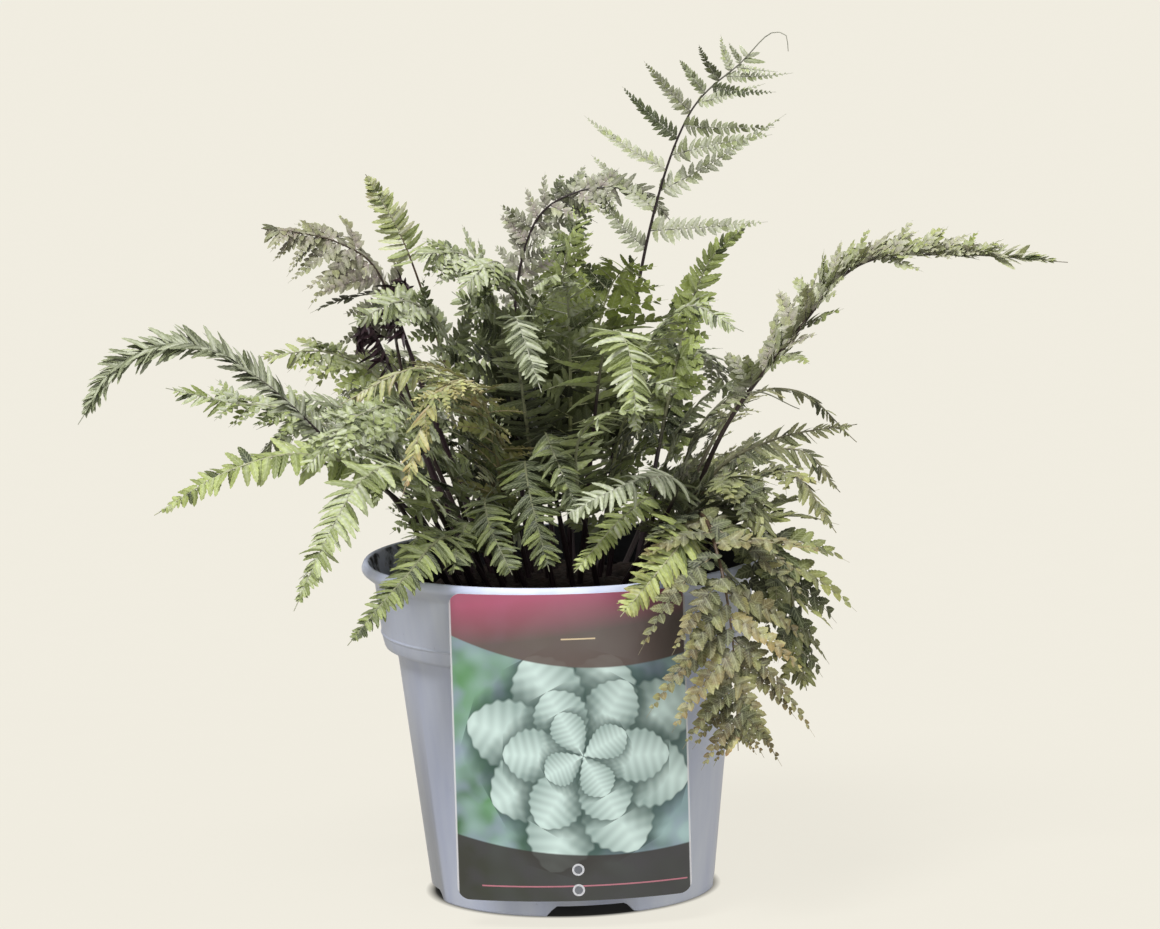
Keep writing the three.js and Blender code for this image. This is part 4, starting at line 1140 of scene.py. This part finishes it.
# %% The fronds
FRONDS = {
    # route, share of the stalk that is bare, longest pinna, look, turn, lift and what else is its own
    "top": frond("15 14, 24 30 190, 39 22 271, 57 12 323, 80 5 346, 91 3 357, 98 1 357, 99 0 350", 0.53, 58,
        (0.75, 0.45, 0.35), 80, 6, coarse=0.75, gap=1.35, bare=0.22, splay=(66, 62), skew=-14, forward=0.25,
        ruffle=18, wine=0.75),
    "crest": frond("-6 26, -18 40 222, -10 38 274, 11 34 291, 37 30 290, 50 28 277", 0.5, 21,
        (0.85, 0.35, 0.75), 60, -5, coarse=1.35, gap=1.2, ruffle=20, wine=0.75),
    "right_reach": frond("42 -6, 66 -15 191, 98 -20 234, 126 -22 263, 167 -25 266, 211 -28 262", 0.36, 25,
        (0.9, 0.75, 0.6, 0.1), 15, 30, coarse=1.45, gap=0.75, splay=(56, 34), wine=0.7, width=1.2,
        fresh=0.7),
    "left_reach": frond(
        "-42 -4, -62 -13 162, -89 -20 188, -122 -28 222, -151 -32 239, -180 -36 232, -198 -38 208", 0.3, 19,
        (0.6, 0.25, 0.15), -25, 12, gap=0.4, splay=(62, 36), forward=0.35, simple=30, wine=0.5, taper=0.6,
        rise=0.65),
    "left_crown": frond("-33 20, -63 35 204, -73 35 255, -92 30 273, -123 26 280", 0.58, 36,
        (0.6, 0.4, 0.95, 0.1), -30, -25, coarse=1.15, width=1.2, gap=0.9, droop=0.3, wine=0.7),
    "left_upright": frond("-22 30, -46 47 211, -63 46 268, -79 42 300", 0.76, 12, (0.5, 1.0, 0.0, 0.25),
        -85, 4, simple=30, taper=0.8),
    "left_mid": frond("-46 6, -72 15 177, -109 10 203, -140 5 210, -164 0 217", 0.36, 24, (0.65, 1.0), -40,
        -8, coarse=1.6),
    "left_back": frond("-36 28, -68 52 200, -95 56 222, -128 55 222", 0.3, 28, (0.45, 1.0, 0.0, 0.1), -40,
        -10, coarse=1.7),
    "left_low": frond("-46 -12, -74 -44 180, -104 -60 196, -135 -65 191, -166 -68 174", 0.4, 15, LIME, -25,
        -8, simple=18, width=1.35, gap=1.1, taper=0.7),
    "front_left": frond("-35 -22, -59 -64 186, -79 -88 190, -95 -100 167, -109 -104 139", 0.3, 18,
        (0.45, 0.75), -5, simple=30, taper=0.7),
    "rim_left": frond("-28 -26, -46 -60 160, -65 -88 148, -88 -102 124", 0.26, 14, (0.1, 0.35), simple=18,
        taper=0.7, fresh=0),
    "front_dark": frond("-15 -20, -30 -46 172, -30 -66 166, -21 -80 147", 0.3, 13, (0.05, 0.2), simple=30,
        fresh=-0.08),
    "front_mid": frond("-4 -22, -14 -46 186, -13 -68 178, -6 -80 148", 0.3, 14, (0.0, 0.1), simple=30,
        fresh=-0.08),
    "rim_right": frond("34 -20, 54 -58 166, 62 -87 155, 67 -102 121, 68 -106 77", 0.24, 56,
        (0.15, 0.15, 0.2, 0.34), 0, -4, coarse=1.2, width=1.3, wine=0.9, rise=0.4, taper=0.6, gap=1.1,
        splay=(74, 46)),
    "front_blue": frond("22 -24, 47 -55 176, 31 -78 184, 0 -89 172", 0.4, 13, (0.75, 0.25), simple=18,
        splay=(88, 66), droop=0.3),
    "front_lime": frond("28 -24, 50 -66 160, 44 -92 156, 22 -105 133", 0.36, 17, (0.2, 0.8, 0.0, 0.2),
        simple=18, taper=0.6),
    "right_mid": frond("46 4, 62 5 171, 90 0 188, 124 -5 194", 0.3, 14, OLIVE, 40, -6, coarse=1.8),
    "right_back": frond("42 16, 72 30 171, 101 34 178, 118 30 160", 0.28, 17, OLIVE, 40, -8, coarse=1.7),
    "right_bright": frond("30 24, 50 44 215, 64 45 256, 83 42 275", 0.32, 17, (0.1, 0.65), 60, coarse=2.0,
        width=1.2),
    "autumn_arch": frond("-25 -12, -33 -45 212, -56 -75 232, -88 -86 220", 0.24, 24, (0.55, 0.75, 0.0, 0.3),
        -10, -22, coarse=1.6),
    "autumn_tip": frond("-19 -10, -31 -58 216, -50 -90 222, -64 -104 184", 0.24, 22, (0.35, 0.7, 0.0, 0.5)),
    "middle_pale": frond("6 -14, 18 -60 232, 28 -84 240, 31 -98 204", 0.5, 22, (0.6, 1.0), simple=30,
        taper=0.9, splay=(86, 64)),
    "middle_blue": frond("-6 -10, -15 -40 216, -17 -64 250, -7 -84 222", 0.3, 13, (0.6, 0.2), simple=30),
    "middle_low": frond("14 -20, 6 -62 190, 16 -88 212, 38 -102 216", 0.3, 14, (0.5, 0.6), simple=30),
    "silver_top": frond("-10 6, -12 10 230, -23 -6 266, -40 -32 258", 0.28, 34, (0.8, 0.7, 0.1), -30, -16,
        coarse=1.6),
    "right_inner": frond("36 -8, 56 -30 195, 78 -44 214, 98 -54 208", 0.2, 24, (0.15, 0.15, 0.5), 20, -10,
        coarse=1.8, bare=0.25),
    "right_low": frond("44 -14, 74 -34 160, 90 -50 145, 98 -60 92", 0.26, 38, (0.1, 0.3, 0.2, 0.15), 15,
        coarse=1.8, width=1.2),
    "high_left": frond("-18 12, -41 14 220, -60 0 250, -86 -20 244", 0.2, 30, (0.7, 0.6, 0.1), -55, -10,
        coarse=1.6),
    "high_right": frond("18 4, 32 -8 215, 52 -28 248, 76 -50 240", 0.2, 25, (0.8, 0.8), 25, -14,
        coarse=1.6),
    "mid_left": frond("-32 -6, -54 -32 203, -80 -58 212, -106 -76 190", 0.2, 34, (0.55, 0.6), -25, -8,
        coarse=1.6),
    "high_middle": frond("2 -4, 5 -28 232, 2 -52 264, -12 -74 262", 0.2, 30, (0.6, 0.5), 20, -16,
        coarse=1.6),
    "back_left": frond("-26 34, -52 74 205, -76 100 216, -98 112 186", 0.28, 38, SILVER, 0, -8),
    "back_middle": frond("-12 34, -14 78 220, -18 106 226, -24 120 194", 0.28, 40, GREEN, 0, -6),
    "back_right": frond("14 30, 36 72 205, 60 98 214, 82 110 184", 0.28, 38, SILVER, 0, -8),
    "far_right": frond("38 22, 72 58 190, 102 74 198, 128 80 174", 0.3, 14, OLIVE, 0, -8),
    "far_left": frond("-44 14, -80 48 184, -108 70 194, -134 82 172", 0.3, 34, GREEN, 0, -8),
    "back_high": frond("4 22, 2 44 230, 8 62 272, 24 80 290", 0.26, 38, (0.1, 0.5), 0, 10, taper=1.2,
        coarse=1.8),
    "rim_back_right": frond("24 28, 46 82 162, 56 104 148, 64 112 108", 0.28, 20, LIME),
    "rim_back_left": frond("-20 36, -32 86 162, -40 106 146, -48 113 106", 0.28, 32, GREEN),
    "low_left": frond("-38 -10, -50 -30 165, -66 -46 186, -84 -56 178", 0.22, 32, (0.4, 0.5), -25, -6,
        coarse=1.6),
    "low_front_left": frond("-24 -18, -36 -46 162, -42 -62 160, -45 -76 148", 0.3, 12, (0.08, 0.3),
        simple=30, fresh=-0.08),
    "inner_left": frond("-14 -2, -26 -14 190, -40 -28 214, -58 -42 218", 0.18, 32, (0.7, 0.5), -40, -8,
        coarse=1.5),
    "inner_middle": frond("14 -2, 24 -18 192, 36 -34 216, 48 -52 218", 0.18, 28, (0.65, 0.6), 10, -8,
        coarse=1.6),
    "inner_right": frond("30 6, 46 4 184, 62 -4 208, 80 -12 214", 0.3, 15, (0.6, 0.5, 0.2), 30, -8,
        coarse=1.6),
    "inner_back": frond("-4 14, -8 22 200, -22 30 232, -44 34 250", 0.32, 32, (0.5, 0.5), -60, -6,
        coarse=1.6),
    "inner_high": frond("8 10, 14 10 214, 22 2 252, 34 -16 268", 0.4, 42, (0.08, 0.7), -45, coarse=1.8,
        splay=(84, 50)),
    "low_right": frond("49 -6, 76 -22 172, 96 -38 178, 112 -52 156", 0.22, 17, (0.1, 0.3, 0.4, 0.15), 10,
        -4, coarse=1.9, width=1.15),
    "low_right_front": frond("36 -14, 58 -40 174, 74 -62 178, 86 -78 150", 0.2, 28, (0.1, 0.2, 0.2, 0.1), 5,
        -2, coarse=1.9, width=1.15),
    "inner_far_left": frond("-42 8, -64 2 180, -84 -8 204, -108 -14 214", 0.32, 28, (0.5, 0.3), -40, -8,
        coarse=1.5),
    "front_fan": frond("4 -20, -6 -46 196, -2 -66 192, 8 -86 168", 0.4, 12, (0.05, 0.15), simple=30,
        taper=0.5, fresh=-0.08),
    "low_lime": frond("30 -10, 38 -34 168, 24 -62 166, 4 -84 148", 0.3, 9, LIME, simple=18),
    "low_rim_left": frond("-42 -18, -54 -40 158, -60 -52 158, -66 -64 148", 0.3, 11, (0.3, 0.75),
        simple=18),
    "crown_left": frond("-14 20, -22 16 226, -34 4 266, -58 -14 272", 0.34, 40, (0.7, 0.6, 0.1), -50, -20,
        coarse=1.4),
}
for number, (name, grown) in enumerate(FRONDS.items()):
    made = object_from(f"frond_{name}_blade", frond_skin(grown, 100 + number), [BLADE, STALK], False)
    settle(made, f"frond_{name}")

# %% [markdown]
# ### Withered fronds
# Two old fronds have blackened. They grow as the others do, but their pinnae are short, curl under and hang,
# and their finish is the dull brown-black of dead leaf.

# %% Withered fronds


def dead_leaf(tree):
    """Dull, dry leaf, nearly black, with plum-brown patches 5 mm wide."""
    patches = add(tree, "TexNoise", (add(tree, "TexCoord", out=3), 1 / (5 * MM), 4.0))
    shown = add(tree, "Mix RGBA", (patches, "#191114", "#453038"))
    return {"Base Color": shown, "Roughness": 0.4, "IOR": 1.45}


WITHERED = material("dead fern leaf, dry", dead_leaf)
CURLED = {"turn": 60, "lift": -30, "droop": 1.2, "curl": 0.9, "ruffle": 30, "simple": 30, "stout": 1.7}
OLD_FRONDS = {
    "tall": frond("-28 14, -52 24 195, -68 27 246, -64 25 256, -57 22 240", 0.7, 5, DARK, **CURLED),
    "short": frond("-38 10, -62 22 196, -80 23 240, -85 21 226", 0.7, 6, DARK, **CURLED),
}
for number, (name, grown) in enumerate(OLD_FRONDS.items()):
    node = f"withered_frond_{name}"
    made = object_from(node + "_curl", frond_skin(grown, 200 + number), [WITHERED, WITHERED], False)
    settle(made, node)

# %% [markdown]
# ## Compost and rhizome
# Moist peat is nearly black and made of crumbs from dust up to 5 mm. Its surface is a disc of rings, raised
# and lowered by a sum of waves that run every way, with loose crumbs on it. A Displace modifier would do,
# but with waves the crumbs can be set exactly on the surface.

# %% Waves and lumps


def waves(points, size, seed, count=24):
    """A bumpy field from about -1 to 1: the sum of waves of about that size in random directions."""
    rng = np.random.default_rng(seed)
    direction = unit(rng.normal(0, 1, (count, points.shape[-1])))
    number = 2 * np.pi / (size * rng.uniform(0.6, 1.6, count))
    phase = rng.uniform(0, 2 * np.pi, count)
    return np.cos(points @ direction.T * number + phase).sum(-1) / math.sqrt(count)


COMPOST = millimetres(edge=125, middle=127.5, halfway=126.3, slack=0.4)
COMPOST_EDGE = collar_radius(COMPOST.edge) - POT.wall - COMPOST.slack


def compost_height(x, y):
    """Height of the compost at a place: a low dome, with bumps of 14, 5 and 2.2 mm."""
    heights = [COMPOST.middle, COMPOST.halfway, COMPOST.edge]
    dome = np.interp(np.hypot(x, y), [0, 40 * MM, COMPOST_EDGE], heights)
    flat = np.stack([x, y], -1)
    bumps = 0.9 * waves(flat, 14 * MM, 1) + 0.6 * waves(flat, 5 * MM, 2) + 0.3 * waves(flat, 2.2 * MM, 3)
    return dome + bumps * MM


def compost_skin(rings=50, segments=140):
    """The compost's body: its section follows the inside of the pot, and its top is the bumpy surface."""
    inset = POT.wall + COMPOST.slack
    foot, shoulder, bottom = POT.foot_radius - inset, POT.shoulder_radius - inset, POT.floor + inset
    section = [(0, inset), (POT.dimple - 1.2 * MM, inset), (POT.dimple + 1.3 * MM, bottom)]
    section += [(foot - 1.4 * MM, bottom), (foot, bottom + 1.4 * MM)]
    section += [(shoulder, POT.shoulder), (shoulder, POT.collar_foot)]
    section += [(collar_radius(110 * MM) - inset - 1 * MM, 110 * MM), (COMPOST_EDGE, COMPOST.edge - 3 * MM)]
    section += [(radius, COMPOST.edge) for radius in np.linspace(COMPOST_EDGE, 0, rings)]
    skin = turned(section, segments)
    points = skin["points"]
    surface = points[:, 2] == COMPOST.edge
    points[surface, 2] = compost_height(points[surface, 0], points[surface, 1])
    return skin


def lumps(middles, sizes, seed, rings=2, sides=5):
    """Small closed lumps: balls that are squashed, each point pushed in or out by chance."""
    rng = np.random.default_rng(seed)
    lump = ball(rings, sides)
    count, stride = len(middles), len(lump["points"])
    squash = rng.uniform(0.5, 1.1, (count, 1, 3))
    shaped = lump["points"] * rng.uniform(0.7, 1.2, (count, stride, 1)) * squash
    points = middles[:, None] + shaped * sizes[:, None, None]
    faces = [repeated(faces, count, stride) for faces in lump["faces"]]
    return {"points": points.reshape(-1, 3), "faces": faces}


# %% [markdown]
# ### Moist sphagnum peat
# Wet peat swallows light: a very dark brown with a weak, broad shine, and here and there a paler fibre.

# %% Compost and rhizome materials


def moist_peat(tree):
    """Brown-black crumbs, with lighter fibres where a fine noise peaks."""
    place = add(tree, "TexCoord", out=3)
    crumbs = add(tree, "TexNoise", (place, 1 / (3 * MM), 6.0))
    dark = add(tree, "Mix RGBA", (crumbs, "#040303", "#15100E"))
    fine = add(tree, "TexNoise", (place, 1 / (1.2 * MM), 3.0))
    fibres = add(tree, "MapRange", (fine, 0.68, 0.74, 0.0, 0.5))
    shown = add(tree, "Mix RGBA", (fibres, dark, "#3A2C22"))
    bump = add(tree, "Bump", {"Height": fine, "Strength": 0.6, "Distance": 0.6 * MM})
    return {"Base Color": shown, "Roughness": 0.9, "IOR": 1.2, "Normal": bump}


def scaly_rhizome(tree):
    """Dead brown scales that overlap: cells 3 mm wide with dark edges."""
    scales = add(tree, "TexVoronoi", (add(tree, "TexCoord", out=3), 1 / (3 * MM)))
    shown = add(tree, "Mix RGBA", (scales, "#2B1C15", "#0D0806"))
    bump = add(tree, "Bump", {"Height": scales, "Strength": 0.7, "Distance": 1 * MM})
    return {"Base Color": shown, "Roughness": 0.75, "IOR": 1.4, "Normal": bump}


PEAT = material("moist sphagnum peat", moist_peat)
RHIZOME = material("fern rhizome, scaly", scaly_rhizome)

# %% Build the compost
CRUMBS = 900
rng = np.random.default_rng(7)
crumb_radius = (collar_radius(COMPOST.edge) - 4 * MM) * np.sqrt(rng.uniform(0, 1, CRUMBS))
crumb_angle = rng.uniform(0, 2 * np.pi, CRUMBS)
crumb_x, crumb_y = crumb_radius * np.cos(crumb_angle), crumb_radius * np.sin(crumb_angle)
crumb_places = np.stack([crumb_x, crumb_y, compost_height(crumb_x, crumb_y)], 1)
crumb_sizes = rng.uniform(0.4, 1.0, CRUMBS) ** 2 * 1.9 * MM
compost = object_from("peat_compost", join([compost_skin(), lumps(crumb_places, crumb_sizes, 8)]), [PEAT])
settle(compost, "compost")

# %% Build the rhizome
KNOBS_HEIGHT = 126
KNOBS = [
    # x, y, radius along x, along y, along z, in millimetres
    (-38, 4, 21, 20, 8),
    (-32, -16, 22, 16, 7.5),
    (-26, 26, 22, 17, 8.5),
    (-8, -12, 22, 20, 8.5),
    (2, 24, 24, 18, 9),
    (18, -14, 24, 18, 8),
    (30, 20, 22, 18, 8.5),
    (40, -4, 18, 22, 8),
    (0, 6, 24, 16, 8.5),
]


def knob_skin(x, y, rx, ry, rz):
    """A ball drawn out to the knob's radii, with ripples of 6 and 2.5 mm."""
    knob = ball(rings=26, sides=48)
    at_knob = knob["points"] * np.array([rx, ry, rz]) * MM
    ripple = 0.5 * waves(at_knob + x * MM, 6 * MM, 11) + 0.35 * waves(at_knob + y * MM, 2.5 * MM, 12)
    at_knob += unit(knob["points"]) * (ripple - 0.6)[:, None] * MM
    return {"points": at_knob + np.array([x, y, KNOBS_HEIGHT]) * MM, "faces": knob["faces"]}


rhizome = object_from("scaly_rhizome", join([knob_skin(*knob) for knob in KNOBS]), [RHIZOME])
settle(rhizome, "rhizome")

# %% [markdown]
# ## Floor and light
# The pot stands on a plain pale sweep, as in a light tent. A sky of one colour gives light from every side,
# and three wide suns give it a direction and a soft shadow.

# %% Floor
PAPER_LIGHT = "#F1EDE1"


def pale_sweep(tree):
    """Matt paper, warm off-white, that glows a little, so that the shadow on it stays light. Under the pot,
    which keeps the light off it, the glow falls to nothing from 62.5 to 58 mm from the pot's axis: a painted
    contact shadow."""
    place = add(tree, "TexCoord", out=3)
    fibres = add(tree, "TexNoise", (place, 1 / (25 * MM), 4.0))
    shown = add(tree, "Mix RGBA", (fibres, "#4A4945", "#4D4C48"))
    reach = add(tree, "VectorMath LENGTH", [place])
    # painted contact shadow: the glow stops under the pot's foot and fades in a thin ring round it
    glow_with_painted_shadow = add(tree, "MapRange", (reach, 58 * MM, 62.5 * MM, 0.0, 0.9))
    paper = {"Base Color": shown, "Roughness": 1.0, "IOR": 1.0}
    return {**paper, "Emission Color": PAPER_LIGHT, "Emission Strength": glow_with_painted_shadow}


SWEEP = material("background paper, matt", pale_sweep)
SWEEP_HALF = 14.0  # half its width, in metres
corners = np.array([[-1.0, -1, 0], [1, -1, 0], [1, 1, 0], [-1, 1, 0]]) * SWEEP_HALF
floor = object_from("floor", {"points": corners, "faces": [np.array([[0, 1, 2, 3]])]}, [SWEEP], False)
floor.visible_diffuse = False
floor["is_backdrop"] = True

# %% Light
SUNS = {
    # where the light comes from, its strength and its spread in degrees
    "key": ((-0.5, -0.9, 1.5), 3.0, 24),
    "fill": ((0.9, -0.6, 0.7), 0.5, 60),
    "front": ((0.1, -1.0, 0.15), 0.75, 60),
}
for name, (source, strength, spread) in SUNS.items():
    lamp = bpy.data.lights.new(name, "SUN")
    lamp.energy = strength
    lamp.angle = math.radians(spread)
    back = unit(np.array(source))
    side = unit(np.cross(UP, back))
    set_up(name, lamp, (side, np.cross(back, side), back))
world = bpy.data.worlds.new("light tent")
world.use_nodes = True
sky = world.node_tree.nodes["Background"].inputs
sky["Color"].default_value = colour(PAPER_LIGHT)
sky["Strength"].default_value = 0.3
bpy.context.scene.world = world
bpy.context.scene.view_settings.view_transform = "Standard"

# %% Sizes, and finish
faces = sum(sum(len(p.vertices) - 2 for p in o.data.polygons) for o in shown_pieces() if o.type == "MESH")
print("triangles in all:", faces)
